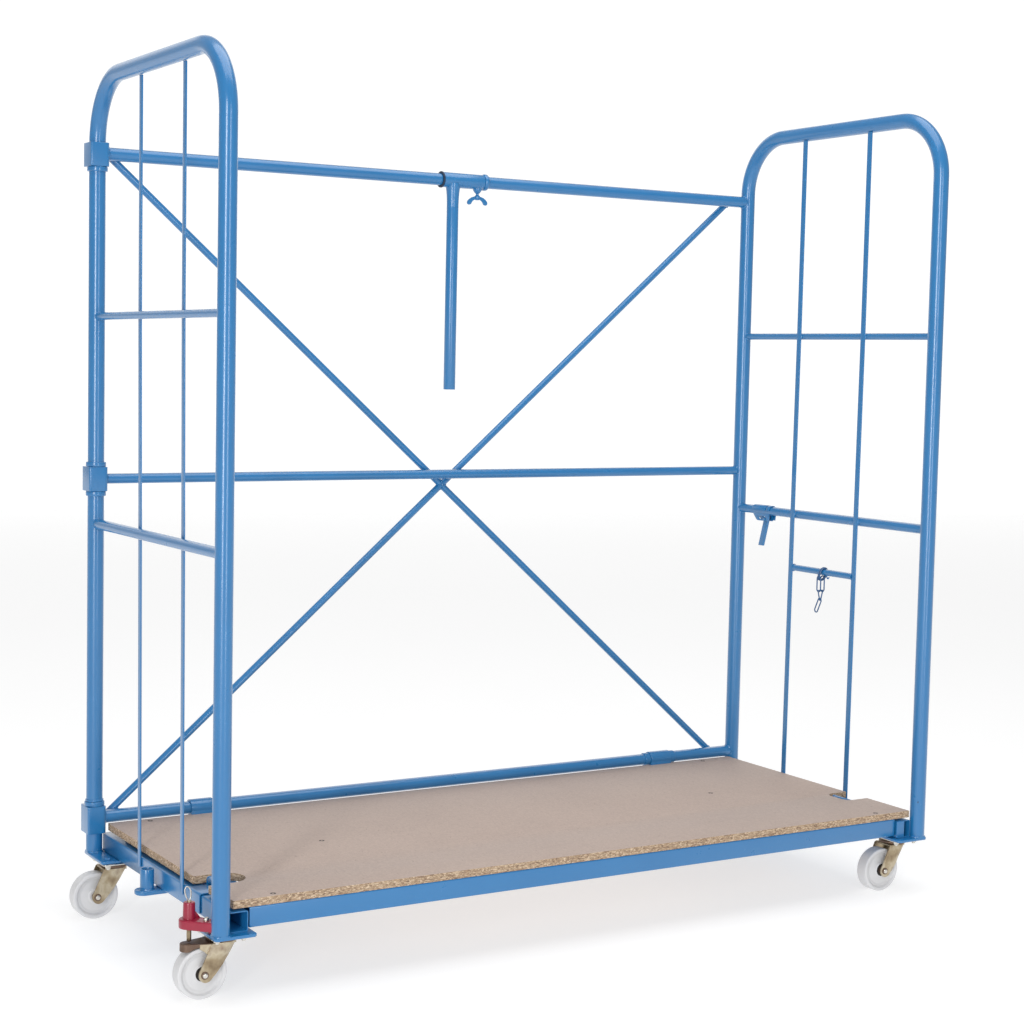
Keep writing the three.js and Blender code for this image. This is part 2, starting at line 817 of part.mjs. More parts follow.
function deckFrame() {
  const rail = (open) => channelShape(channelWidth, channelHeight, channelWall, open);
  const long = frameHalfLength;
  const side = long - sideRailInset;
  const frontInside = channelWall / 2 - boardFront;
  const backInside = boardBack - channelWall / 2;
  const sideShape = (open) => channelShape(sideRailWidth, channelHeight, channelWall, open);
  const cross = troughShape(crossWidth, crossHeight, channelWall);
  const crossFoot = boardFoot - crossHeight - gap;
  return join(
    extrude(rail(1), X, -long, long, [0, -boardFront, channelFoot]),
    extrude(rail(-1), X, -long, long, [0, boardBack, channelFoot]),
    extrude(sideShape(1), Y, frontInside, backInside, [-side, 0, channelFoot]),
    extrude(sideShape(-1), Y, frontInside, backInside, [side, 0, channelFoot]),
    extrude(cross, Y, frontInside, backInside, [-crossMember, 0, crossFoot]),
    extrude(cross, Y, frontInside, backInside, [crossMember, 0, crossFoot]),
  );
}

// A barrel round the bottom tube with a lug down the back of the frame.
function deckHinge(middle, length) {
  const from = middle - length / 2;
  const to = middle + length / 2;
  const at = [0, backY, backBottomHeight];
  const lugFront = boardBack + gap;
  const lug = block(from, to, lugFront, lugFront + hingeLugDepth, channelFoot + hingeLugInset, backBottomHeight);
  const barrel = bar(hingeBarrel / 2, X, from, to, railSides, at);
  const bore = bar(clearing(railRadius, railSides), X, from - gap, to + gap, railSides, at);
  return cut(join(lug, barrel), bore);
}

piece("deck_board", deckBoard(), chipboard, deck);
piece("deck_frame", deckFrame(), blue, deck);
piece("left_deck_hinge", deckHinge(leftHingeX, leftHingeLength), blue, deck);
piece("right_deck_hinge", deckHinge(rightHingeX, rightHingeLength), blue, deck);

// Castors: each one is a group at its swivel axis, on the floor, trailing to the left

const axleHeight = wheelRadius * Math.cos(Math.PI / wheelSides);
const legInside = wheelWidth / 2 + legGap;
const legOutside = legInside + legThickness;

function wheel(at) {
  const half = wheelWidth / 2;
  const bore = clearing(axleDiameter / 2, barSides);
  const right = [
    [bore, half],
    [hubDiameter / 2, half],
    [hubDiameter / 2 + hubClearance, half - rimRecess],
    [rimDiameter / 2 - hubClearance, half - rimRecess],
    [rimDiameter / 2, half],
    [wheelRadius - treadChamfer, half],
    [wheelRadius, half - treadChamfer],
  ];
  const left = right.map(([r, y]) => [r, -y]).reverse();
  const profile = [...right, ...left, right[0]].map(([r, y]) => new THREE.Vector2(r, y));
  const geometry = new THREE.LatheGeometry(profile, wheelSides, Math.PI / wheelSides);
  geometry.translate(...at);
  return solid(geometry);
}

// The direction in which a straight line from a point touches a round.
function touching(px, pz, cx, cz, radius, turn) {
  const away = Math.atan2(pz - cz, px - cx);
  const reach = Math.hypot(px - cx, pz - cz);
  return away + turn * Math.acos(radius / reach);
}

function leg(at, from, to) {
  const front = touching(crownFront, crownTop, -trail, axleHeight, legFoot, -1);
  const back = touching(-crownBack, crownTop, -trail, axleHeight, legFoot, 1) - 2 * Math.PI;
  const outline = loop([
    new THREE.Vector2(crownFront, crownTop),
    ...arc(-trail, axleHeight, legFoot, front, back, 8),
    new THREE.Vector2(-crownBack, crownTop),
  ]);
  return extrude(outline, Y, from, to, at);
}

function fork(at, hasEar) {
  const crownFoot = crownTop - crownThickness;
  const crownShape = roundedShape(-crownBack, -legOutside, crownFront, legOutside, Array(4).fill(legThickness));
  const pieces = [
    bar(raceDiameter / 2 - legThickness, Z, crownFoot, crownTop, wheelSides / 2, at),
    extrude(crownShape, Z, crownFoot, crownTop, at),
    leg(at, legInside, legOutside),
    leg(at, -legOutside, -legInside),
  ];
  if (hasEar) {
    const turn = Math.PI / 2;
    const root = -crownBack / 2;
    const ear = [
      ...arc(-earReach, 0, earRadius, turn, 3 * turn, 6),
      new THREE.Vector2(root, -legOutside),
      new THREE.Vector2(root, legOutside),
    ];
    pieces.push(extrude(loop(ear), Z, crownFoot, crownTop, at));
  }
  const holeRadius = clearing(axleDiameter / 2, barSides);
  const axleHole = bar(holeRadius, Y, -legOutside - overrun, legOutside + overrun, barSides, [
    at[0] - trail,
    at[1],
    axleHeight,
  ]);
  const pinHole = bar(clearing(lockPinDiameter / 2, barSides), Z, crownFoot - gap, crownTop + gap, barSides, [
    at[0] - earReach,
    at[1],
    0,
  ]);
  return cut(join(...pieces), axleHole, pinHole);
}

function axle(at) {
  const headAt = legOutside + gap;
  const shaft = bar(axleDiameter / 2, Y, -headAt, headAt, barSides, at);
  const head = bar(axleHead / 2, Y, -headAt - axleHeadThickness, -headAt, barSides, at);
  const nut = bar(axleHead / 2, Y, headAt, headAt + axleHeadThickness, 6, at);
  return join(shaft, head, nut);
}

for (const [wall, side, end] of [
  ["left", -1, -1],
  ["left", -1, 1],
  ["right", 1, -1],
  ["right", 1, 1],
]) {
  const name = `${wall}_${end < 0 ? "front" : "rear"}`;
  const carrier = wall === "left" ? leftWall : cage;
  const at = [side * castorX, end * castorY, 0];
  const castor = assembly(carrier, ...at);
  const hub = [at[0] - trail, at[1], axleHeight];
  piece(`${name}_fork`, fork(at, wall === "left" && end < 0), goldZinc, castor);
  piece(`${name}_wheel`, wheel(hub), nylon, castor);
  piece(`${name}_axle`, axle(hub), zinc, castor);
}

// Latches on the beams

piece("left_latch", latch(-1, leftNotch.latch), blue, leftWall);
piece("right_latch", latch(1, rightNotch.latch), blue, cage);

// Direction lock: a cast body on the plate, and a pin with a wire pull above the ear of the fork

const pinX = -castorX - earReach;
const pinY = -castorY;
const bodyTop = plateTop + lockHeight;
const bossTop = bodyTop + lockBossHeight;

function lockBody() {
  const inner = -beamOuter - lockStandoff;
  const outer = pinX - lockRim;
  const near = pinY + lockShift - lockWidth / 2;
  const radii = Array(4).fill(lockCorner);
  const body = extrude(roundedShape(outer, near, inner, near + lockWidth, radii), Z, plateTop, bodyTop);
  const boss = bar(lockBossDiameter / 2, Z, bodyTop - overrun, bossTop, midSides, [pinX, pinY, 0]);
  const bore = clearing(lockPinDiameter / 2, barSides);
  const hole = bar(bore, Z, plateTop - overrun, bossTop + overrun, barSides, [pinX, pinY, 0]);
  return cut(join(body, boss), hole);
}

function lockPin() {
  const foot = crownTop + lockPinLift;
  const loopFoot = bossTop + gap;
  const pin = bar(lockPinDiameter / 2, Z, foot, loopFoot + lockLoopWire / 2, barSides, [pinX, pinY, 0]);
  const h = lockLoopHeight / 2;
  const w = lockLoopWidth / 2;
  const radii = Array(4).fill(w - lockLoopWire);
  const inner = roundedShape(lockLoopWire - w, lockLoopWire - h, w - lockLoopWire, h - lockLoopWire, radii.map((r) => r / 2));
  const pull = loop(roundedShape(-w, -h, w, h, radii).getPoints(), [inner]);
  const half = lockLoopWire / 2;
  return join(pin, extrude(pull, Y, -half, half, [pinX, pinY, loopFoot + h]));
}

piece("lock_body", lockBody(), red, leftWall);
piece("lock_pin", lockPin(), zinc, leftWall);

// Coupling socket: an oval flange under the left beam with an upright tube outside it

function couplingSocket() {
  const flangeTop = plateTop;
  const flangeFoot = flangeTop - flangeThickness;
  const r = flangeWidth / 2;
  const outer = socketX - flangeReach;
  const inner = socketX + flangeRoot;
  const outline = roundedShape(outer, socketY - r, inner, socketY + r, Array(4).fill(r - gap), 5);
  const radius = socketDiameter / 2;
  const at = [socketX, socketY, 0];
  const post = bar(radius, Z, flangeFoot, flangeTop + socketHeight, midSides, at);
  const bore = bar(radius - socketWall, Z, flangeFoot - overrun, flangeTop + socketHeight + overrun, midSides, at);
  return cut(join(extrude(outline, Z, flangeFoot, flangeTop), post), bore);
}

piece("coupling_socket", couplingSocket(), blue, leftWall);

// Support arm: a flanged liner slides on the top tube, and the arm's sleeve turns on the liner

const bushInner = railRadius + gap;
const bushOuter = bushInner + bushWall;
const armBore = clearing(bushOuter, railSides);
const armSleeveRadius = armBore + armSleeveWall;
const armSleeveFoot = backTopHeight - armSleeveRadius;
const armAt = [0, backY, backTopHeight];

function armBush() {
  const from = armSleeveFrom + bushFlangeThickness;
  const to = armSleeveTo - bushFlangeThickness;
  const flange = bushFlangeDiameter / 2;
  return join(
    tube(bushOuter, bushOuter - bushInner, X, armSleeveFrom, armSleeveTo, railSides, armAt),
    tube(flange, flange - bushInner, X, armSleeveFrom, from, railSides, armAt),
    tube(flange, flange - bushInner, X, to, armSleeveTo, railSides, armAt),
  );
}

function supportArm() {
  const from = armSleeveFrom + bushFlangeThickness + gap;
  const to = armSleeveTo - bushFlangeThickness - gap;
  const radius = armDiameter / 2;
  const under = backTopHeight - armBore;
  const flareTop = [armX, backY, 0];
  const flare = turned(
    [
      [0, armSleeveFoot - armFlareHeight],
      [radius, armSleeveFoot - armFlareHeight],
      [radius + armFlare / 2, armSleeveFoot],
      [radius + armFlare / 2, backTopHeight],
      [0, backTopHeight],
    ],
    railSides,
    flareTop,
  );
  const boss = turned(
    [
      [0, armSleeveFoot - wingBossDrop],
      [wingBossFoot / 2, armSleeveFoot - wingBossDrop],
      [wingBossTop / 2, armSleeveFoot],
      [wingBossTop / 2, under],
      [0, under],
    ],
    midSides,
    [wingX, backY, 0],
  );
  const hang = bar(radius, Z, armFoot, backTopHeight, railSides, [armX, backY, 0]);
  const sleeveBody = bar(armSleeveRadius, X, from, to, railSides, armAt);
  const sleeveBore = bar(armBore, X, from - overrun, to + overrun, railSides, armAt);
  const armHollow = bar(radius - armWall, Z, armFoot - overrun, armSleeveFoot - armWall, railSides, flareTop);
  const stemHole = bar(clearing(wingStem / 2, barSides), Z, armSleeveFoot - 2 * wingBossDrop, backTopHeight, barSides, [
    wingX,
    backY,
    0,
  ]);
  return cut(join(sleeveBody, flare, hang, boss), sleeveBore, armHollow, stemHole);
}

function wingBolt() {
  const stemTop = backTopHeight - bushOuter - gap;
  const hubTop = armSleeveFoot - wingBossDrop - wingNeck;
  const hubFoot = hubTop - wingHeight * wingHubHeightShare;
  const lobe = (wingSpan - wingHub) * wingLobeShare + wingThickness / 2;
  const half = wingThickness / 2;
  const lobeX = wingSpan / 2 - lobe;
  const at = [wingX, backY, 0];
  const stem = bar(wingStem / 2, Z, hubFoot, stemTop, barSides, at);
  const hub = bar(wingHub / 2, Z, hubFoot, hubTop, barSides, at);
  const wing = (side) =>
    bar(lobe, Y, -half, half, midSides, [wingX + side * lobeX, backY, hubTop - wingHeight + lobe]);
  const bridge = extrude(boxShape(-lobeX, hubTop - wingHeight + lobe, lobeX, hubTop - wingNeck / 2), Y, -half, half, [
    wingX,
    backY,
    0,
  ]);
  return join(stem, hub, wing(1), wing(-1), bridge);
}

const arm = assembly(cage);
piece("arm_bush", armBush(), plasticLiner, arm);
piece("support_arm", supportArm(), blue, arm);
piece("wing_bolt", wingBolt(), zinc, arm);

// Catch: a saddle over the right mid rail with a pin, and a lever on the pin between its cheeks

const catchPinZ = midRailHeight - catchPinDrop;

function catchBracket() {
  const inner = midRadius + gap / Math.cos(Math.PI / midSides);
  const outer = inner + catchSheet;
  const foot = midRailHeight - catchDrop;
  const over = arc(wallX, midRailHeight, outer, 0, Math.PI, 8);
  const under = arc(wallX, midRailHeight, inner, Math.PI, 0, 8);
  const profile = loop([
    new THREE.Vector2(wallX + outer, foot),
    ...over,
    new THREE.Vector2(wallX - outer, foot),
    new THREE.Vector2(wallX - inner, foot),
    ...under,
    new THREE.Vector2(wallX + inner, foot),
  ]);
  const saddle = extrude(profile, Y, catchFront, catchBack);
  const slotY = (catchPinY + catchBack) / 2 + catchSlotHeight;
  const slotZ = midRailHeight - midRadius - catchSlotHeight;
  const long = catchSlotLength / 2;
  const high = catchSlotHeight / 2;
  const slot = block(wallX - outer - overrun, wallX + outer + overrun, slotY - long, slotY + long, slotZ - high, slotZ + high);
  const pin = bar(catchPin / 2, X, wallX - outer, wallX + outer, barSides, [0, catchPinY, catchPinZ]);
  return join(cut(saddle, slot), pin);
}

function catchLever() {
  const half = leverThickness / 2;
  const r = leverWidth / 2;
  const dy = Math.sin(leverTilt);
  const dz = -Math.cos(leverTilt);
  const farY = catchPinY + dy * leverLength;
  const farZ = catchPinZ + dz * leverLength;
  const acrossAngle = Math.atan2(dz, dy) + Math.PI / 2;
  const outline = loop([
    ...arc(catchPinY, catchPinZ, r, acrossAngle, acrossAngle + Math.PI, 8),
    ...arc(farY, farZ, r, acrossAngle + Math.PI, acrossAngle + 2 * Math.PI, 8),
  ]);
  const whole = extrude(outline, X, wallX - half, wallX + half);
  const eye = bar(clearing(catchPin / 2, barSides), X, wallX - overrun, wallX + overrun, barSides, [0, catchPinY, catchPinZ]);
  return cut(whole, eye);
}

piece("catch_bracket", catchBracket(), blue, cage);
piece("catch_lever", catchLever(), blue, cage);

// Chain: a ring round the bar, two links side by side, a pear link and a long end link

const ringMiddle = ringInner + ringWire / 2;
const ringCentreZ = chainBarHeight + barRadius + gap - ringInner;
const ringFootZ = ringCentreZ - ringDrop;

// Points of a closed long loop in (across, up), turned into space by a function.
function longLoop(width, length, steps, place) {
  return stadiumShape(width, length, steps)
    .getPoints()
    .map((p) => place(p.x, p.y));
}

function chainRing() {
  const width = 2 * ringMiddle;
  const length = ringCentreZ - ringFootZ + width;
  const middle = (ringCentreZ + ringFootZ) / 2;
  const points = longLoop(width, length, 8, (a, b) => new THREE.Vector3(a, 0, b + middle));
  return wireRing(points, Y, ringWire / 2, chainSides, [chainBarX, chainY, 0]);
}

// The links hang a little to each side of the lowest point of the ring, where its wire is higher.
const linkReach = (linkSpacing + linkWire) / 2;
const linkTopInside = ringFootZ - Math.sqrt(ringInner ** 2 - linkReach ** 2) + gap;
const linkMiddleTop = linkTopInside + linkWire / 2;
const linkMiddleLength = linkOuterLength - linkWire;
const linkMiddleFoot = linkMiddleTop - linkMiddleLength;

function chainLink(side) {
  const width = linkOuterWidth - linkWire;
  const middle = linkMiddleTop - linkMiddleLength / 2;
  const points = longLoop(width, linkMiddleLength, 5, (a, b) => new THREE.Vector3(0, a, b + middle));
  return wireRing(points, X, linkWire / 2, chainSides, [chainBarX + (side * linkSpacing) / 2, chainY, 0]);
}

// The pear link: wide at the top to take both links, narrow at the foot for the end link.
const pearTop = linkMiddleFoot + linkWire + gap;
const pearFoot = pearTop - pearLength;

function pearLink() {
  const wide = linkSpacing / 2 + linkWire + gap;
  const narrow = pearBottomWidth / 2;
  const corner = linkWire;
  const turn = Math.PI / 2;
  const right = [
    ...arc(wide, pearTop - corner, corner, turn, 0, 3),
    ...arc(0, pearFoot + narrow, narrow, 0, -turn, 3),
  ];
  const left = right.map((p) => new THREE.Vector2(-p.x, p.y)).reverse();
  const points = [...right, ...left.slice(1)].map((p) => new THREE.Vector3(p.x, 0, p.y));
  return wireRing(points, Y, linkWire / 2, chainSides, [chainBarX, chainY, 0]);
}

// The end link leans, and its top hangs in the narrow foot of the pear link.
const pearInside = (pearBottomWidth - linkWire) / 2;
const endLift = linkWire + gap + pearInside - Math.sqrt(pearInside ** 2 - (linkWire / 2) ** 2);

function endLink() {
  const width = linkOuterWidth - linkWire;
  const length = endLinkLength - linkWire;
  const sin = Math.sin(endLinkTilt);
  const cos = Math.cos(endLinkTilt);
  const place = (a, b) => {
    const down = length / 2 - b - endLift;
    return new THREE.Vector3(0, a * cos + down * sin, a * sin - down * cos);
  };
  const points = longLoop(width, length, 5, place);
  return wireRing(points, X, linkWire / 2, chainSides, [chainBarX, chainY, pearFoot]);
}

piece("chain_top_link", chainRing(), zinc, cage);
piece("chain_left_link", chainLink(-1), zinc, cage);
piece("chain_right_link", chainLink(1), zinc, cage);
piece("chain_lower_link", pearLink(), zinc, cage);
piece("chain_end_link", endLink(), zinc, cage);

// The part stands on the floor with its own middle over the origin.
const furnitureRollCage = new THREE.Group();
furnitureRollCage.name = "furniture_roll_cage";
furnitureRollCage.add(cage);
const middle = new THREE.Box3().setFromObject(cage, true).getCenter(new THREE.Vector3());
cage.position.set(-middle.x, -middle.y, 0);

export default furnitureRollCage;
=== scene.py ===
"""A furniture roll cage dressed for a studio picture.

Sizes are in millimetres. Places are measured from the middle of the deck, between the end walls.
Every surface is worked out with numpy as rows of points and closed into a skin.
"""

import bpy
import numpy as np
from mathutils import Matrix, Vector


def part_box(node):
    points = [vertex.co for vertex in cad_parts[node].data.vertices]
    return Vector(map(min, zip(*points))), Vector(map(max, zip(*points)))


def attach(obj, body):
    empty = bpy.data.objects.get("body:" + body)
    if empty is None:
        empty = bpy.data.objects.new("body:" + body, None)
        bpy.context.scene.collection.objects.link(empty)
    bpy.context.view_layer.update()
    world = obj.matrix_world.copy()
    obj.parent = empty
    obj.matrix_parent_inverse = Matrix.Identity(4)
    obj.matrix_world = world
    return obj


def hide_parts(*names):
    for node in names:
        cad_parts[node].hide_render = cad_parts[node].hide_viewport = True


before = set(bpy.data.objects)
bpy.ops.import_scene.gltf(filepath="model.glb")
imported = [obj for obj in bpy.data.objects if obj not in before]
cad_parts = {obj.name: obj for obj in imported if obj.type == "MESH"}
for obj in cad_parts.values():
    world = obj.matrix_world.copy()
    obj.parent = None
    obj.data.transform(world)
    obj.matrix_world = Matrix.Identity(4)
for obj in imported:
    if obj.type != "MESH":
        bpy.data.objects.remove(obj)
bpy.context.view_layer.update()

# Sizes of the cage in millimetres
WALL_X = 866.0
BACK_Y = 352.5
HOOP_TOP = 1782.5
HOOP_R = 17.5
HOOP_BEND = 135.0
RAIL_R = 14.0
MID_R = 11.0
BAR_R = 8.0
BACK_TOP_Z = 1629.0
BACK_MID_Z = 940.0
BACK_BOTTOM_Z = 204.0
UPPER_BAR_Z = 1286.0
MID_RAIL_Z = 844.0
CHAIN_BAR_Z = 711.0
PLATE_TOP = 130.0
PLATE_THICK = 6.0
BEAM = 40.0
BEAM_OUT = 848.2
BEAM_LONG = 696.0
ROD_Y = 118.0
ROD_WIDE = 15.0
ROD_THICK = 3.0
GAP = 0.3
CASTOR_X = 841.0
CASTOR_Y = 299.0
TRAIL = 44.0
AXLE_Z = 49.57
CROWN_TOP = 108.7
BOARD_LOW = 175.0
BOARD_THICK = 16.0
BEAM_TOP = PLATE_TOP + BEAM
PLATE_OUT = 883.5
PLATE_END = 370.0

# The middle of the deck in the cage's own frame, found from the right hoop, in metres
hoop_low, hoop_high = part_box("right_hoop")
hoop_x, hoop_y = (hoop_low.x + hoop_high.x) / 2, (hoop_low.y + hoop_high.y) / 2
MIDDLE = np.array([hoop_x - WALL_X / 1000, hoop_y, 0.0])


def metres(points):
    """Places in the cage's frame, in metres, of points in millimetres."""
    return np.asarray(points, float) / 1000 + MIDDLE


# Camera at the place from which the cage is seen, in a picture PICTURE pixels wide
CAMERA_PLACE = (-2261.47, -3672.61, 1207.52)
CAMERA_YAW = np.radians(31.20214)
CAMERA_DOWN = np.radians(4.39225)
CAMERA_ROLL = np.radians(-1.21852)
CAMERA_FOCAL = 1950.5785
PICTURE = 1024

camera = bpy.data.objects.new("camera", bpy.data.cameras.new("camera"))
bpy.context.scene.collection.objects.link(camera)
camera.data.sensor_fit = "HORIZONTAL"
camera.data.lens = camera.data.sensor_width * CAMERA_FOCAL / PICTURE
camera.data.clip_end = 60
ahead = np.array([
    np.sin(CAMERA_YAW) * np.cos(CAMERA_DOWN),
    np.cos(CAMERA_YAW) * np.cos(CAMERA_DOWN),
    -np.sin(CAMERA_DOWN),
])
level = np.array([np.cos(CAMERA_YAW), -np.sin(CAMERA_YAW), 0.0])
below = np.cross(ahead, level)
right = level * np.cos(CAMERA_ROLL) + below * np.sin(CAMERA_ROLL)
down = -level * np.sin(CAMERA_ROLL) + below * np.cos(CAMERA_ROLL)
turn = Matrix(np.column_stack([right, -down, -ahead]).tolist()).to_4x4()
camera.matrix_world = Matrix.Translation(metres(CAMERA_PLACE).tolist()) @ turn
bpy.context.scene.camera = camera


# Shader sums
class Value:
    """A number, a colour or a vector that changes over a surface. Sums add their Math nodes."""

    def __init__(self, paint, socket):
        self.paint = paint
        self.socket = socket

    def sum(self, operation, *terms):
        """What a Math node makes of some terms."""
        return self.paint.node("Math", {"operation": operation}, dict(enumerate(terms)))

    def __add__(self, other):
        return self.sum("ADD", self, other)

    def __sub__(self, other):
        return self.sum("SUBTRACT", self, other)

    def __rsub__(self, other):
        return self.sum("SUBTRACT", other, self)

    def __mul__(self, other):
        return self.sum("MULTIPLY", self, other)

    def __truediv__(self, other):
        return self.sum("DIVIDE", self, other)

    __radd__ = __add__
    __rmul__ = __mul__

    def held(self):
        """The number kept between 0 and 1."""
        return self.sum("MINIMUM", self.sum("MAXIMUM", self, 0.0), 1.0)

    def above(self, edge, soft):
        """0 under the edge and 1 above it, with a ramp of this width."""
        return ((self - edge) / soft + 0.5).held()


class Paint:
    """One finish: its nodes and the surface that they end in."""

    def __init__(self, name, roughness, metallic=0.0, coat=0.0, specular=0.5):
        self.material = bpy.data.materials.new(name)
        self.material.use_nodes = True
        self.tree = self.material.node_tree
        self.tree.nodes.clear()
        self.surface = self.tree.nodes.new("ShaderNodeBsdfPrincipled")
        output = self.tree.nodes.new("ShaderNodeOutputMaterial")
        self.tree.links.new(self.surface.outputs["BSDF"], output.inputs["Surface"])
        self.surface.inputs["Roughness"].default_value = roughness
        self.surface.inputs["Metallic"].default_value = metallic
        self.surface.inputs["Coat Weight"].default_value = coat
        self.surface.inputs["Coat Roughness"].default_value = 0.2
        self.surface.inputs["Specular IOR Level"].default_value = specular
        self.place = self.node("TexCoord", {}, {}, "Object")

    def node(self, kind, settings, sockets, take=0):
        """A node of a kind with its settings, then its sockets, and the output taken from it."""
        made = self.tree.nodes.new("ShaderNode" + kind)
        for name, value in settings.items():
            if name == "stops":
                while len(made.color_ramp.elements) < len(value):
                    made.color_ramp.elements.new(0.5)
                for stop, (at, colour) in zip(made.color_ramp.elements, value):
                    stop.position = at
                    stop.color = (*colour, 1.0)
            else:
                setattr(made, name, value)
        for key, value in sockets.items():
            if isinstance(value, Value):
                self.tree.links.new(value.socket, made.inputs[key])
            else:
                made.inputs[key].default_value = value
        return Value(self, made.outputs[take])

    def noise(self, scale, detail, roughness=0.5, stretch=None):
        """Cloudy noise with so many waves to the metre, pulled out along the axes by a stretch."""
        sockets = {"Scale": scale, "Detail": detail, "Roughness": roughness}
        return self.node("TexNoise", {}, {"Vector": self.stretched(stretch), **sockets})

    def stretched(self, stretch):
        """The place on the surface, each axis scaled by its own factor."""
        if stretch is None:
            return self.place
        return self.node("Mapping", {}, {"Vector": self.place, "Scale": stretch})

    def cells(self, scale, stretch, take="Distance", feature="F1"):
        """Cells with so many to the metre: the way to the nearest border, or a colour for each."""
        sockets = {"Vector": self.stretched(stretch), "Scale": scale}
        return self.node("TexVoronoi", {"feature": feature}, sockets, take)

    def mixed(self, share, first, second):
        """The first colour where the share is 0 and the second where it is 1."""
        first, second = (c if isinstance(c, Value) else (*c, 1.0) for c in (first, second))
        return self.node("Mix", {"data_type": "RGBA"}, {0: share, 6: first, 7: second}, 2)

    def ramp(self, share, stops):
        """A colour that runs through stops of (share, colour)."""
        return self.node("ValToRGB", {"stops": stops}, {0: share})

    def put(self, **sockets):
        """Feeds the surface's colour, roughness or metallic with values that change over it."""
        names = {"colour": "Base Color", "roughness": "Roughness", "metallic": "Metallic"}
        for key, value in sockets.items():
            self.tree.links.new(value.socket, self.surface.inputs[names[key]])

    def relief(self, height, depth, strength):
        """Bumps of this depth in metres where the height goes from 0 to 1."""
        bump = self.node("Bump", {}, {"Height": height, "Distance": depth, "Strength": strength})
        self.tree.links.new(bump.socket, self.surface.inputs["Normal"])
        return self


# Outlines in a plane
def arc(x, y, radius, start, end, steps):
    """Points at a radius round a place, from one angle in degrees to another, ends included."""
    a = np.radians(np.linspace(start, end, steps + 1))
    return np.column_stack([x + radius * np.cos(a), y + radius * np.sin(a)])


def unit(vectors):
    """Each vector at a length of 1."""
    return vectors / np.linalg.norm(vectors, axis=-1, keepdims=True)


def left_of(flat):
    """Each flat vector turned left by a right angle."""
    return np.column_stack([-flat[:, 1], flat[:, 0]])


def direction(path, ring=False):
    """The way that a path runs at each of its points."""
    if ring:
        return unit(np.roll(path, -1, axis=0) - np.roll(path, 1, axis=0))
    return unit(np.gradient(path, axis=0))


def circle(radius, sides=48):
    """A ring of points: (radius cos a, radius sin a) for evenly spaced angles a."""
    return arc(0, 0, radius, 0, 360, sides)[:-1]


def rounded(x0, y0, x1, y1, radii, steps=6):
    """A rectangle with a quarter circle at each corner, counter-clockwise from the lower left."""
    a, b, c, d = radii
    return np.vstack([
        arc(x0 + a, y0 + a, a, 180, 270, steps),
        arc(x1 - b, y0 + b, b, 270, 360, steps),
        arc(x1 - c, y1 - c, c, 0, 90, steps),
        arc(x0 + d, y1 - d, d, 90, 180, steps),
    ])


SAME_POINT = 0.001


def tidy(outline):
    """The outline counter-clockwise, without points within SAME_POINT of the one before."""
    outline = np.asarray(outline, float)
    x, y = outline.T
    if np.sum(x * np.roll(y, -1) - y * np.roll(x, -1)) < 0:
        outline = outline[::-1]
    step = np.linalg.norm(outline - np.roll(outline, 1, axis=0), axis=1)
    return outline[step > SAME_POINT]


def inset(outline, depth):
    """Each point moved inwards along the mitre of its edges, so that all edges move by the depth."""
    after = unit(np.roll(outline, -1, axis=0) - outline)
    inward = left_of(np.roll(after, 1, axis=0)) + left_of(after)
    return outline + inward * (2 * depth / np.sum(inward ** 2, axis=1))[:, None]


def strip(path, thick):
    """The outline of a bent sheet: its middle line, moved by half the thickness to each side."""
    path = np.asarray(path, float)
    across = left_of(direction(path)) * thick / 2
    return np.vstack([path + across, (path - across)[::-1]])


def bent(corners, radius):
    """A path through corner points, each inner corner replaced by an arc of this radius."""
    corners = np.asarray(corners, float)
    pieces = [corners[:1]]
    for a, b, c in zip(corners[:-2], corners[1:-1], corners[2:]):
        u, v = unit(a - b), unit(c - b)
        half = np.arccos(np.clip(u @ v, -1, 1)) / 2
        reach = radius / np.tan(half)
        t = np.linspace(0, 1, 7)[:, None]
        start, end = b + u * reach, b + v * reach
        centre = b + unit(u + v) * radius / np.sin(half)
        pieces.append(centre + unit(start + (end - start) * t - centre) * radius)
    pieces.append(corners[-1:])
    return np.vstack(pieces)


# Skins: rows of points in space, joined up. ORDER says where each axis finds its coordinates.
ORDER = {"x": (2, 0, 1), "y": (0, 2, 1), "z": (0, 1, 2)}


def lifted(outline, axis, height):
    """A flat outline set in space across an axis, at a height along it."""
    whole = np.column_stack([outline, np.broadcast_to(height, len(outline))])
    return whole[:, ORDER[axis]]


def skin(rows, ring=False):
    """Quads between neighbouring rows, closed round each row. The first and the last row get a
    cap, or meet on a ring. The faces are turned round where the volume comes out negative."""
    rows = np.asarray(rows, float)
    m, n = rows.shape[:2]
    points = rows.reshape(-1, 3)
    i = np.arange(m if ring else m - 1)[:, None]
    k = np.arange(n)[None, :]
    j, l = (i + 1) % m, (k + 1) % n
    quads = np.stack([i * n + k, i * n + l, j * n + l, j * n + k], axis=-1).reshape(-1, 4)
    faces = [quads]
    a, b, c, d = (points[quads[:, q]] - points[0] for q in range(4))
    volume = np.sum(a * np.cross(b, c)) + np.sum(a * np.cross(c, d))
    if not ring:
        low, high = np.arange(n)[::-1], np.arange((m - 1) * n, m * n)
        faces += [low[None, :], high[None, :]]
        for cap in (low, high):
            p = points[cap] - points[0]
            volume += np.sum(p[0] * np.cross(p[1:-1], p[2:]))
    if volume < 0:
        faces = [f[:, ::-1] for f in faces]
    return points, [f for group in faces for f in group.tolist()]


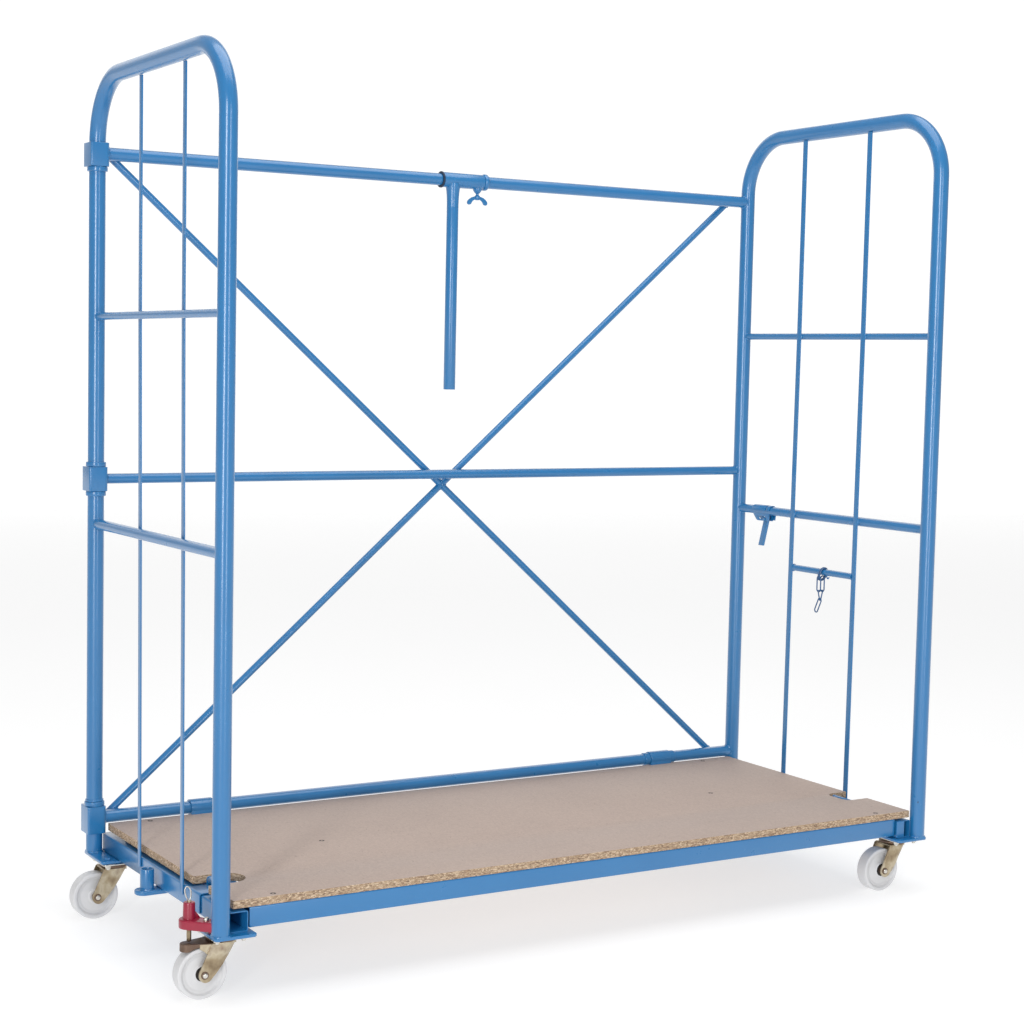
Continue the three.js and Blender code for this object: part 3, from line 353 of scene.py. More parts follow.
def eased(outline, axis, low, high, ease, steps, way=1):
    """Rows of an outline from one height to another. At both ends a quarter circle turns them in,
    or out where the way is -1."""
    a = np.linspace(0, np.pi / 2, steps + 1)
    rim = np.column_stack([1 - np.sin(a), 1 - np.cos(a)]) * ease
    rows = [(d, low + h) for d, h in rim] + [(d, high - h) for d, h in rim[::-1]]
    return [lifted(inset(outline, way * d), axis, h) for d, h in rows]


def slab(outline, axis, low, high, ease, steps=3):
    """An outline carried along an axis, with an eased rim at both ends."""
    return skin(eased(tidy(outline), axis, low, high, ease, steps))


def pipe(outer, inner, axis, low, high, ease, steps=2):
    """A hollow section between two outlines of as many points, its rims eased at both ends."""
    outside = eased(outer, axis, low, high, ease, steps)
    inside = eased(inner, axis, low, high, ease, steps, -1)
    return skin(outside + inside[::-1], ring=True)


def turned(profile, axis, centre, sides, ring=False):
    """A profile of (radius, height) turned round an axis through a centre."""
    rows = [lifted(circle(r, sides), axis, h) for r, h in profile]
    points, faces = skin(rows, ring)
    return points + np.asarray(centre, float), faces


def domed(radius, height, ease):
    """A profile of a round head: a straight side and a quarter-round rim at its far end."""
    return [(radius, 0.0), *arc(radius - ease, height - ease, ease, 0, 90, 4), (0.02, height)]


def carried(path, radius, up, sides, ring=False):
    """A round section carried along a path in a plane: one side of it follows the plane's normal,
    the other one the cross product of that normal with the direction of the path."""
    path = np.asarray(path, float)
    across = unit(np.cross(up, direction(path, ring)))
    section = radius * circle(1, sides)[None]
    rows = path[:, None] + section[..., :1] * across[:, None] + section[..., 1:] * np.asarray(up)
    return skin(rows, ring)


def straight(start, end, radius, sides=40):
    """A round bar between two places. Each end has four rows in one place: their faces of no area
    count as level, which turns the smooth normals on top of a level bar a little further up."""
    along = unit(np.subtract(end, start))
    up = unit(np.cross(along, np.eye(3)[np.argmin(np.abs(along))]))
    section = radius * circle(1, sides)
    ring = section[:, :1] * np.cross(up, along) + section[:, 1:] * up
    return skin([place + ring for place in (*[start] * 4, *[end] * 4)])


def bead(path, outward, size, ripples=20):
    """A weld bead: a small round section carried round a closed path. The outward direction is one
    side of the section. Its size swells and shrinks with a sine, as the ripples of a weld do."""
    path = np.asarray(path, float)
    along = direction(path, ring=True)
    outward = unit(outward - np.sum(outward * along, axis=1)[:, None] * along)
    across = np.cross(outward, along)
    t = np.linspace(0, 2 * np.pi, len(path), endpoint=False)
    swell = size * (1 + 0.12 * np.sin(ripples * t) + 0.08 * np.sin(3 * t + 1))
    ring = circle(1, 10)
    rows = path[:, None] + swell[:, None, None] * (
        ring[None, :, :1] * outward[:, None] + ring[None, :, 1:] * across[:, None])
    return skin(rows, ring=True)


def collar_bead(centre, axis, radius, size, host=0.0, toward=1.0):
    """The bead round a bar that ends on an upright, or on a flat face where the host's radius is 0.
    The bar's ring is moved along its axis to where it meets the upright: the root of the upright's
    radius squared less the ring's offset squared."""
    ring = circle(1, 80)
    flat = lifted(ring, axis, 0.0)
    depth = np.sqrt(np.maximum(host ** 2 - (radius * ring[:, 0]) ** 2, 0))
    along = lifted(np.zeros((1, 2)), axis, 1.0)[0]
    path = np.asarray(centre, float) + flat * radius + along * (toward * depth)[:, None]
    return bead(path, flat, size)


def collar(low, high, radius, inner, centre, axis="x", ease=1.0, sides=48):
    """A plain collar round a tube, both rims rolled over."""
    foot = arc(radius - ease, low + ease, ease, -90, 0, 4)
    rim = arc(radius - ease, high - ease, ease, 0, 90, 4)
    return turned([(inner, low), *foot, *rim, (inner, high)], axis, centre, sides, ring=True)


def moved(part, by):
    """The same skin somewhere else."""
    points, faces = part
    return points + np.asarray(by, float), faces


def made(name, skins, paint, body, *nodes, at=(0, 0, 0), crease=32):
    """One piece of the cage from its skins, in its finish, at a place. It rides on a body and
    stands for these solids."""
    skins = skins if isinstance(skins, list) else [skins]
    points, faces, count = [], [], 0
    for p, f in skins:
        points.append(p + np.asarray(at, float))
        faces += [[v + count for v in face] for face in f]
        count += len(p)
    mesh = bpy.data.meshes.new(name)
    mesh.from_pydata(metres(np.vstack(points)).tolist(), [], faces)
    mesh.polygons.foreach_set("use_smooth", np.ones(len(mesh.polygons), bool))
    mesh.set_sharp_from_angle(angle=np.radians(crease))
    mesh.materials.append(paint.material)
    mesh.update()
    piece = bpy.data.objects.new(name, mesh)
    bpy.context.scene.collection.objects.link(piece)
    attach(piece, body)
    if nodes:
        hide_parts(*nodes)
    return piece


# Finishes
def powder_coat():
    """Blue powder coat: a fine orange peel, slow clouds of tone, and rubbed, paler flecks."""
    paint = Paint("painted_blue", 0.3, coat=0.8)
    clouds = paint.noise(9, 4)
    flecks = paint.noise(140, 6, 0.7, (1, 1, 0.25)).above(0.66, 0.05)
    rubbed = flecks * paint.noise(12, 2).above(0.55, 0.1)
    tone = paint.mixed(clouds, (0.009, 0.15, 0.38), (0.016, 0.182, 0.435))
    paint.put(
        colour=paint.mixed(rubbed * 0.35, tone, (0.12, 0.3, 0.55)),
        roughness=0.25 + 0.08 * paint.noise(35, 3) + 0.2 * rubbed,
    )
    return paint.relief(paint.noise(1100, 2) + 0.6 * paint.noise(380, 2), 0.00005, 0.35)


def board_face():
    """The faced side of chipboard: pinkish beige with fine fibres, small chips and soft clouds."""
    paint = Paint("board_face", 0.62)
    grain = paint.noise(520, 5, 0.75)
    chips = paint.node("SeparateColor", {}, {0: paint.cells(330, (1.0, 0.55, 1.0), "Color")})
    tone = paint.mixed(paint.noise(5, 4), (0.42, 0.325, 0.28), (0.49, 0.385, 0.33))
    tone = paint.mixed(0.32 * chips, tone, (0.64, 0.52, 0.44))
    dark = (1 - grain.above(0.37, 0.1)) * 0.55
    tone = paint.mixed(dark, tone, (0.27, 0.185, 0.15))
    specks = paint.noise(210, 3, 0.6, (1, 0.4, 1)).above(0.69, 0.04)
    tone = paint.mixed(specks * 0.6, tone, (0.2, 0.13, 0.1))
    paint.put(colour=tone, roughness=0.56 + 0.16 * grain)
    return paint.relief(grain, 0.00012, 0.5)


def board_edge():
    """The raw edge of chipboard: flat flakes along the board, pale and brown, with voids between
    them whose dark colour is painted shade.
    """
    paint = Paint("board_edge", 0.8)
    flake = (240, (1.0, 1.0, 2.6))
    tone = paint.ramp(paint.node("SeparateColor", {}, {0: paint.cells(*flake, "Color")}), [
        (0.0, (0.2, 0.13, 0.085)),
        (0.3, (0.38, 0.26, 0.165)),
        (0.65, (0.47, 0.34, 0.225)),
        (1.0, (0.66, 0.52, 0.37)),
    ])
    borders = paint.cells(*flake, feature="DISTANCE_TO_EDGE")
    # The voids between the flakes are real gaps; their near-black colour is painted shade in them.
    void_shade = (1 - borders.above(0.03, 0.05)) * paint.noise(160, 2).above(0.5, 0.1)
    paint.put(colour=paint.mixed(void_shade * 0.8, tone, (0.09, 0.055, 0.035)))
    return paint.relief(borders.held() + 0.4 * paint.noise(900, 4), 0.0005, 0.7)


def nylon():
    """Moulded white nylon, a little grey in its clouds, with faint rubbed marks."""
    paint = Paint("moulded_nylon", 0.4, specular=0.45)
    tone = paint.mixed(paint.noise(22, 4), (0.62, 0.62, 0.63), (0.69, 0.69, 0.7))
    marks = paint.noise(160, 5, 0.7).above(0.7, 0.06)
    paint.put(
        colour=paint.mixed(marks * 0.25, tone, (0.5, 0.48, 0.46)),
        roughness=0.36 + 0.12 * paint.noise(60, 3),
    )
    return paint.relief(paint.noise(700, 2), 0.00004, 0.3)


def yellow_zinc():
    """Zinc with a yellow passivation: olive gold that drifts to straw and to a faint purple."""
    paint = Paint("yellow_zinc", 0.3, metallic=1.0)
    tone = paint.ramp(paint.noise(28, 3), [
        (0.3, (0.22, 0.16, 0.1)),
        (0.45, (0.4, 0.32, 0.21)),
        (0.58, (0.56, 0.49, 0.36)),
        (0.72, (0.29, 0.21, 0.16)),
    ])
    paint.put(colour=tone, roughness=0.24 + 0.16 * paint.noise(90, 4))
    return paint.relief(paint.noise(420, 3), 0.00005, 0.4)


def chain_wire():
    """Chain wire: blue coat that is worn through to grey zinc in places."""
    paint = Paint("chain_wire", 0.36, metallic=0.25)
    worn = paint.noise(260, 4, 0.6).above(0.56, 0.12)
    paint.put(colour=paint.mixed(worn, (0.02, 0.1, 0.26), (0.14, 0.19, 0.28)), metallic=0.4 * worn)
    return paint.relief(paint.noise(900, 2), 0.00005, 0.4)


def clouded(name, tones, tone_noise, rough, rough_noise, bumps, metallic=0.0, coat=0.0):
    """A finish whose tone and roughness drift in clouds of their own, with a fine relief over it.
    The roughness is (least, swing) and the bumps are (waves, octaves, depth, strength)."""
    paint = Paint(name, rough[0], metallic, coat)
    drift = rough[0] + rough[1] * paint.noise(*rough_noise)
    paint.put(colour=paint.mixed(paint.noise(*tone_noise), *tones), roughness=drift)
    waves, octaves, depth, strength = bumps
    return paint.relief(paint.noise(waves, octaves), depth, strength)


BLUE = powder_coat()
FACE = board_face()
EDGE = board_edge()
NYLON = nylon()
GOLD = yellow_zinc()
CHAIN = chain_wire()
ZINC = clouded(
    "bright_zinc", ((0.6, 0.57, 0.5), (0.74, 0.72, 0.68)), (60, 3),
    (0.22, 0.14), (150, 3), (800, 2, 0.00003, 0.3), metallic=1.0)
GREASE = clouded(
    "greased_steel", ((0.1, 0.062, 0.045), (0.25, 0.175, 0.13)), (55, 4),
    (0.34, 0.22), (80, 3), (500, 3, 0.00008, 0.5), metallic=0.85)
RED = clouded(
    "red_casting", ((0.26, 0.006, 0.03), (0.36, 0.01, 0.042)), (40, 4),
    (0.28, 0.14), (120, 3), (420, 3, 0.00012, 0.5), coat=0.3)
LINER = clouded(
    "liner_blue", ((0.006, 0.016, 0.04), (0.012, 0.03, 0.07)), (90, 3),
    (0.42, 0.16), (140, 3), (600, 2, 0.00005, 0.4))
# A near-black finish of painted shade for the insides of holes and gaps: the screw holes in the
# deck, the gap at each hub's bearing and the hole in the upright.
RECESS_SHADE = clouded(
    "recess_shade", ((0.012, 0.011, 0.01), (0.04, 0.034, 0.03)), (300, 3),
    (0.7, 0.0), (300, 3), (900, 2, 0.00004, 0.4))


# End walls. The left one swings in its sleeves, the right one is fixed to the back.
def hoop_path(side):
    """Up the front upright, round two quarter circles and down the back one."""
    bend_y, bend_z = BACK_Y - HOOP_BEND, HOOP_TOP - HOOP_BEND
    foot = np.linspace(PLATE_TOP, bend_z, 30)[:-1]
    path = np.vstack([
        np.column_stack([np.full(29, -BACK_Y), foot]),
        arc(-bend_y, bend_z, HOOP_BEND, 180, 90, 20),
        arc(bend_y, bend_z, HOOP_BEND, 90, 0, 20),
        np.column_stack([np.full(29, BACK_Y), foot[::-1]]),
    ])
    return np.column_stack([np.full(len(path), side * WALL_X), path])


def foot_bead(side, end):
    """The bead round the foot of an upright, kept inside the rim of its plate."""
    flat = lifted(circle(1, 80), "z", 0.0)
    points, faces = bead(
        flat * HOOP_R + [side * WALL_X, end * BACK_Y, PLATE_TOP + 0.4], flat, 2.4, 24)
    limit = np.array([PLATE_OUT - 0.1, PLATE_END - 0.1, HOOP_TOP])
    return np.clip(points, -limit * [1, 1, 0], limit), faces


def wall_bar(side, radius, height):
    """A round bar between the two uprights of a wall, and its two beads."""
    x = side * WALL_X
    bar = straight((x, -BACK_Y, height), (x, BACK_Y, height), radius)
    beads = [collar_bead((x, e * BACK_Y, height), "y", radius, 1.7, HOOP_R, -e) for e in (-1, 1)]
    return [bar, *beads]


def rod(side, end):
    """A flat rod: its middle line leans out a little as it goes up past the rail and the bar."""
    half = ROD_THICK / 2
    line = bent([
        (BEAM_OUT + GAP + half, ROD_FOOT),
        (BEAM_OUT + GAP + half, BEAM_TOP + 2),
        (WALL_X - MID_R - GAP - half, MID_RAIL_Z),
        (WALL_X - BAR_R - GAP - half, UPPER_BAR_Z),
        (WALL_X - BAR_R - GAP - half / 2, HOOP_TOP - HOOP_R + 1.5),
    ], ROD_BEND)
    near = end * ROD_Y - ROD_WIDE / 2
    return slab(strip(line * [side, 1], ROD_THICK), "y", near, near + ROD_WIDE, 0.9)


def rod_welds(side, end):
    """Short weld runs where a rod crosses a bar and the rail: a small lump on each of its edges."""
    return [
        lump((side * (WALL_X - host - GAP), end * ROD_Y + edge * ROD_WIDE / 2, height),
             (2.0, 2.2, host * 0.75))
        for height, host in ((UPPER_BAR_Z, BAR_R), (MID_RAIL_Z, MID_R)) for edge in (-1, 1)
    ]


def lump(centre, radii):
    """An egg of weld metal: a half circle turned about z, scaled to three radii."""
    pole = np.pi / 2 - 0.12
    rows = [lifted(circle(np.cos(t), 16), "z", np.sin(t)) for t in np.linspace(-pole, pole, 8)]
    return skin(np.array(rows) * radii + centre)


def end_beam(side, latch_y):
    """A square tube with open ends, the two ears of its latch and the pin between them."""
    low, high, wall, end = BEAM_OUT - BEAM, BEAM_OUT, 2.0, BEAM_LONG / 2
    x0, x1 = sorted((side * low, side * high))
    outer = tidy(rounded(x0, PLATE_TOP, x1, BEAM_TOP, [3.5] * 4, 5))
    inner = tidy(rounded(x0 + wall, PLATE_TOP + wall, x1 - wall, BEAM_TOP - wall, [1.6] * 4, 5))
    ear = np.vstack([
        arc(LATCH_X, LATCH_Z, LATCH_EAR, 0, 180, 16),
        [(LATCH_X - LATCH_EAR + 0.3, BEAM_TOP), (low - 1, BEAM_TOP - 6), (low + 1, BEAM_TOP - 8)],
        [(low + 3, BEAM_TOP - 1), (LATCH_X + LATCH_EAR, BEAM_TOP - 1)],
    ]) * [side, 1]
    parts = [pipe(outer, inner, "y", -end, end, 0.4)]
    for edge in (-1, 1):
        y0, y1 = sorted(latch_y + edge * (LATCH_HALF + at) for at in (0.8, 3.8))
        parts.append(slab(ear, "y", y0, y1, 0.5))
    reach = LATCH_HALF + 2.3
    pin = turned([(3.0, -reach), (3.0, reach)], "y", (side * LATCH_X, latch_y, LATCH_Z), 20)
    return [*parts, pin]


def latch(side, y):
    """A strap rolled round its pin, over the beam and down its outer side, eased at its edges."""
    over, outside = BEAM_TOP + 2.5, BEAM_OUT + 2.5
    eye = arc(LATCH_X, LATCH_Z, 4.95, 250, -70, 30)
    leg = bent([(LATCH_X, LATCH_Z - 4.2), (LATCH_X, over), (outside, over), (outside, 134.4)], 3.2)
    return [
        slab(strip(path * [side, 1], 3.0), "y", y - LATCH_HALF, y + LATCH_HALF, ease)
        for path, ease in ((eye, 0.6), (leg, 0.8))
    ]


def corner_plate(side, end):
    """A plate with rounded corners and an eased rim."""
    x0, x1 = sorted((side * PLATE_IN, side * PLATE_OUT))
    y0, y1 = sorted((end * (PLATE_END - 119), end * PLATE_END))
    return slab(rounded(x0, y0, x1, y1, [8] * 4, 8), "z", PLATE_TOP - PLATE_THICK, PLATE_TOP, 1.2)


ROD_FOOT = 150.0
ROD_BEND = 60.0
LATCH_X = 805.8
LATCH_Z = 182.0
LATCH_EAR = 7.0
LATCH_HALF = 29.0
PLATE_IN = 797.5
WALLS = {
    "left": {"side": -1, "body": "left_wall", "latch": -185.0},
    "right": {"side": 1, "body": "frame", "latch": -162.0},
}
for wall, w in WALLS.items():
    side, body = w["side"], w["body"]
    hoop = carried(hoop_path(side), HOOP_R, (1, 0, 0), sides=56)
    made(f"{wall}_hoop_tube", hoop, BLUE, body, f"{wall}_hoop")
    made(f"{wall}_hoop_welds", [foot_bead(side, e) for e in (-1, 1)], BLUE, body)
    made(f"{wall}_upper_tube", wall_bar(side, BAR_R, UPPER_BAR_Z), BLUE, body, f"{wall}_upper_bar")
    made(f"{wall}_rail_tube", wall_bar(side, MID_R, MID_RAIL_Z), BLUE, body, f"{wall}_mid_rail")
    made(f"{wall}_beam_tube", end_beam(side, w["latch"]), BLUE, body, f"{wall}_end_beam")
    strap = latch(side, w["latch"])
    made(f"{wall}_latch_strap", strap, BLUE, f"{wall}_latch_plate", f"{wall}_latch")
    for end, name in ((-1, "front"), (1, "rear")):
        made(f"{wall}_{name}_flat_rod", rod(side, end), BLUE, body, f"{wall}_{name}_rod")
        made(f"{wall}_{name}_corner", corner_plate(side, end), BLUE, body, f"{wall}_{name}_plate")
    made(f"{wall}_rod_welds", rod_welds(side, -1) + rod_welds(side, 1), BLUE, body)

stop_plate = rounded(806.5, PLATE_TOP + 0.4, 829, BEAM_TOP - 0.6, [1.5] * 4, 4)
beam_front = -BEAM_LONG / 2
made("right_beam_stop", slab(stop_plate, "y", beam_front - 2.4, beam_front, 0.6), BLUE, "frame")

# Sleeves round the rear left upright, and the stop rings beside them
SLEEVES = {"top": (1600.75, 1650.75), "mid": (914.0, 966.0), "bottom": (172.0, 231.0)}
RING_LONG = 10.3
RING_R = 21.5
HINGE_AT = (-WALL_X, BACK_Y, 0)
stops = [
    (SLEEVES["top"][0] - RING_LONG, SLEEVES["top"][0] - GAP, RING_R),
    (SLEEVES["mid"][1] + GAP, SLEEVES["mid"][1] + RING_LONG, RING_R),
    (SLEEVES["mid"][0] - RING_LONG, SLEEVES["mid"][0] - GAP, RING_R),
    (SLEEVES["bottom"][1] + GAP, SLEEVES["bottom"][1] + RING_LONG, RING_R),
    (SLEEVES["bottom"][1] + RING_LONG, SLEEVES["bottom"][1] + RING_LONG + 5, RING_R - 2),
]
made("left_stop_rings", [
    collar(low, high, radius, HOOP_R - 0.5, HINGE_AT, "z", 1.6, 56) for low, high, radius in stops
], BLUE, "left_wall")


def sleeve(low, high):
    """A folded sleeve: round corners outside, and a round bore inside whose points lie at the
    angles of the outline's own points."""
    outline = tidy(rounded(-21, -21, 21, 28.5, [4, 9, 3, 4], 10))
    bore = (HOOP_R + 0.6) * unit(outline)
    return moved(pipe(outline, bore, "z", low, high, 0.9, 3), HINGE_AT)


for name, (low, high) in SLEEVES.items():
    made(f"{name}_sleeve_shell", sleeve(low, high), BLUE, "frame", f"{name}_sleeve")


# Back: three tubes from the sleeves to the right upright, and two braces that cross behind them
SLEEVE_FACE = -845.0 + GAP


def back_tube(radius, height):
    """A tube from the sleeve's face to the right upright, with the bead at each end."""
    start, end = (SLEEVE_FACE, BACK_Y, height), (WALL_X, BACK_Y, height)
    return [
        straight(start, end, radius, 48),
        collar_bead((SLEEVE_FACE + 0.5, BACK_Y, height), "x", radius, 2.2),
        collar_bead(end, "x", radius, 2.4, HOOP_R, -1),
    ]


BOTTOM_AT = (0, BACK_Y, BACK_BOTTOM_Z)
COLLAR_LONG = 15.0
made("back_top_bar", back_tube(RAIL_R, BACK_TOP_Z), BLUE, "frame", "back_top_tube")
made("back_middle_bar", back_tube(MID_R, BACK_MID_Z), BLUE, "frame", "back_mid_bar")
collars = [collar(x, x + COLLAR_LONG, 16, 13.5, BOTTOM_AT) for x in (582.7, 659.3)]
bottom_tube = back_tube(RAIL_R, BACK_BOTTOM_Z)
made("back_bottom_bar", bottom_tube + collars, BLUE, "frame", "back_bottom_tube")

BRACE_Y = BACK_Y + MID_R + GAP + BAR_R
BRACE_OVER = 9.5
BACKWARDS = np.array([0, 1, 0])


def slant(bottom_x, top_x):
    """Where a brace starts, the way it runs and the way across it."""
    start = np.array([bottom_x, BRACE_Y, BACK_BOTTOM_Z])
    along = unit([top_x, BRACE_Y, BACK_TOP_Z] - start)
    return start, along, np.cross(BACKWARDS, along)


def brace(bottom_x, top_x):
    """A slanting bar with level ends: each point of its ring is slid along the bar to the cut."""
    start, along, across = slant(bottom_x, top_x)
    ring = circle(BAR_R, 32)
    points = start + ring[:, :1] * across + ring[:, 1:] * BACKWARDS
    cuts = (BACK_BOTTOM_Z - BRACE_OVER, BACK_TOP_Z + BRACE_OVER)
    return skin([points + (cut - points[:, 2:]) / along[2] * along for cut in cuts])


def brace_bead(bottom_x, top_x, side):
    """The bead round the broken brace where it meets the through one: an oval across its slant."""
    _, along, across = slant(bottom_x, top_x)
    ring = circle(1, 60)
    flat = ring[:, :1] * across + ring[:, 1:] * BACKWARDS
    reach = BAR_R * (np.abs(ring[:, :1]) + 0.1 * ring[:, :1]) + 0.6
    points, faces = bead(CROSSING + flat * BAR_R + side * along * reach, flat, 1.7, 12)
    return np.minimum(points, [np.inf, BRACE_Y + BAR_R, np.inf]), faces


FALLING = (807.4, -836.6)
RISING = (-833.0, 816.5)
run = RISING[1] - RISING[0]
share = (RISING[0] - FALLING[0]) / (FALLING[1] - FALLING[0] - run)
crossing_z = BACK_BOTTOM_Z + share * (BACK_TOP_Z - BACK_BOTTOM_Z)
CROSSING = np.array([RISING[0] + share * run, BRACE_Y, crossing_z])
made("rising_brace_bar", brace(*RISING), BLUE, "frame", "rising_brace")
made("falling_brace_bar", [
    brace(*FALLING),
    brace_bead(*FALLING, 1),
    brace_bead(*FALLING, -1),
], BLUE, "frame", "falling_brace")


def brace_foot(x, height, side):
    """Weld metal where a brace lies against a tube: a lump on each side of it, along its edges."""
    z = height + side * (RAIL_R - 2.5)
    return [lump((x + edge * 9.0, BRACE_Y - 5.0, z), (2.6, 2.6, 4.2)) for edge in (-1, 1)]


feet = []
for bottom_x, top_x in (FALLING, RISING):
    shift = (top_x - bottom_x) * 0.009
    feet += brace_foot(bottom_x + shift, BACK_BOTTOM_Z, 1)
    feet += brace_foot(top_x - shift, BACK_TOP_Z, -1)
made("brace_welds", feet, BLUE, "frame")

# Deck: the board with its two notches, the channels under it and the two hinges
BOARD = {"left": -838.0, "right": 847.0, "front": -345.0, "back": 342.5}
CHANNEL_BACK = 335.0
LEFT_NOTCH = {"front": -225.0, "back": -148.0, "tip": -748.0}
RIGHT_NOTCH = {"front": -200.0, "back": -124.0, "tip": 784.0}


def board_outline():
    """Once round the board: the front edge, the right notch, the back edge and the left notch."""
    b, l, r = BOARD, LEFT_NOTCH, RIGHT_NOTCH
    round_end, corner = (l["back"] - l["front"]) / 2, 20
    return np.vstack([
        [(b["left"], b["front"]), (b["right"], b["front"]), (b["right"], r["front"])],
        arc(r["tip"] + corner, r["front"] + corner, corner, 270, 180, 10),
        arc(r["tip"] + corner, r["back"] - corner, corner, 180, 90, 10),
        [(b["right"], r["back"]), (b["right"], b["back"]), (b["left"], b["back"])],
        [(b["left"], l["back"])],
        arc(l["tip"] - round_end, l["back"] - round_end, round_end, 90, -90, 24),
        [(b["left"], l["front"])],
    ])


BOARD_TOP = BOARD_LOW + BOARD_THICK
panel = slab(board_outline(), "z", BOARD_LOW, BOARD_TOP, 0.7, 2)
board = made("deck_panel", panel, FACE, "deck", "deck_board")
board.data.materials.append(EDGE.material)
normals = np.zeros(len(board.data.polygons) * 3)
board.data.polygons.foreach_get("normal", normals)
upright_faces = np.abs(normals.reshape(-1, 3)[:, 2]) < 0.9
board.data.polygons.foreach_set("material_index", upright_faces.astype(np.int32))
board.data.update()


def channel(width, height, wall, opens):
    """A channel on its side, its two bends rounded outside and inside."""
    r, inner = 3.0, 1.4
    return np.vstack([
        arc(r, r, r, 180, 270, 5), [(width, 0), (width, wall)],
        arc(wall + inner, wall + inner, inner, 270, 180, 3),
        arc(wall + inner, height - wall - inner, inner, 180, 90, 3),
        [(width, height - wall), (width, height)], arc(r, height - r, r, 90, 180, 5),
    ]) * [opens, 1]


def trough(width, height, wall):
    """A trough with its web under the board and its two legs down."""
    h, r = width / 2, 3
    return np.vstack([
        [(-h, 0), (wall - h, 0), (wall - h, height - wall)],
        [(h - wall, height - wall), (h - wall, 0), (h, 0)],
        arc(h - r, height - r, r, 0, 90, 5), arc(r - h, height - r, r, 90, 180, 5),
    ])


# The side channels are a little lower than the long ones, so that no two faces lie in one plane
SHEET = 3
SIDE_EASE = 0.4
RAIL_HALF = 804
SIDE_X = 795
CROSS_X = 515
CROSS_HIGH = 28
low = BOARD_LOW - BEAM
front_rail = channel(30, BEAM, SHEET, 1) + [BOARD["front"], low]
back_rail = channel(30, BEAM, SHEET, -1) + [CHANNEL_BACK, low]
members = [slab(rail, "x", -RAIL_HALF, RAIL_HALF, 0.6) for rail in (front_rail, back_rail)]
inner_front, inner_back = BOARD["front"] + 2.6, CHANNEL_BACK - 2.6
for side in (-1, 1):
    side_rail = channel(40, BEAM - 2 * SIDE_EASE, SHEET, -side) + [side * SIDE_X, low + SIDE_EASE]
    members.append(slab(side_rail, "y", inner_front, inner_back, 0.4))
    cross = trough(32, CROSS_HIGH, SHEET) + [side * CROSS_X, BOARD_LOW - CROSS_HIGH - GAP]
    members.append(slab(cross, "y", inner_front, inner_back, 0.4))
made("deck_channels", members, BLUE, "deck", "deck_frame")


def hinge(low_x, high_x):
    """A barrel round the bottom tube and the lug that joins it to the back channel."""
    barrel = collar(low_x, high_x, 18, RAIL_R + 0.4, BOTTOM_AT)
    lug = rounded(CHANNEL_BACK + GAP, 138, CHANNEL_BACK + 12.3, BACK_BOTTOM_Z, [1, 3, 1, 1], 4)
    return [barrel, slab(lug, "x", low_x + 0.2, high_x - 0.2, 1.0)]


made("left_hinge_barrel", hinge(-648, -595), BLUE, "deck", "left_deck_hinge")
made("right_hinge_barrel", hinge(598, 659), BLUE, "deck", "right_deck_hinge")


def countersunk(x, y):
    """A screw sunk flush in the board: a shallow dish with a small recess in its middle."""
    dish = [(5.8, -0.4), (5.8, 0.05), (4.8, 0.12), (2.6, 0.0), (2.2, -0.25), (0.02, -0.3)]
    return turned(dish, "z", (x, y, BOARD_TOP), 24)


SCREWS = [(-750, -330), (758, -330), (750, 322), (-750, 322), (-491, -2), (539, 7)]
# The screws are near black: painted shade of their holes.
made("deck_screws", [countersunk(*s) for s in SCREWS], RECESS_SHADE, "deck")


# Castors. Each one is worked out round its own swivel axis, with x and y measured from it.
AXLE_AT = (-TRAIL, 0, AXLE_Z)
LEG_OUT = 26.5
LEG_THICK = 3.0
LEG_TOP = 107.0
LEG_HUMP = 20.0
CROWN_R = 28.0
LEG_FOOT = 14.5
FOOT_AHEAD = 2.5
CROWN_BACK = -30.0
CROWN_FRONT = 24.0


def crown_half(x):
    """Half the crown's width: flat sides that swell to the round of the race, closed in front."""
    swell = LEG_OUT + (CROWN_R - LEG_OUT) * np.exp(-(x / 13) ** 2)
    return np.where(x < 0.5, swell, np.sqrt(np.maximum(CROWN_R ** 2 - x ** 2, 0)))


def leg_edges(z):
    """The back and the front edge of a leg at some heights: lines from the crown that touch the
    round foot, the front one bowed out by a hump that dies at both its ends."""
    edges = []
    for corner, turn, last in ((CROWN_BACK, 1, 270), (CROWN_FRONT, -1, -90)):
        across, up = corner + TRAIL - FOOT_AHEAD, CROWN_TOP - AXLE_Z
        reach = np.hypot(across, up)
        first = np.degrees(np.arctan2(up, across) + turn * np.arccos(LEG_FOOT / reach))
        foot = arc(FOOT_AHEAD - TRAIL, AXLE_Z, LEG_FOOT, first, last, 24)
        side = np.vstack([[(corner, CROWN_TOP)], foot])
        x = np.interp(z, side[::-1, 1], side[::-1, 0])
        if turn < 0:
            s = np.clip((CROWN_TOP - z) / (CROWN_TOP - side[1, 1]), 0, 1)
            x = x + LEG_HUMP * s * (1 - s) ** 1.3
        edges.append(x)
    return edges


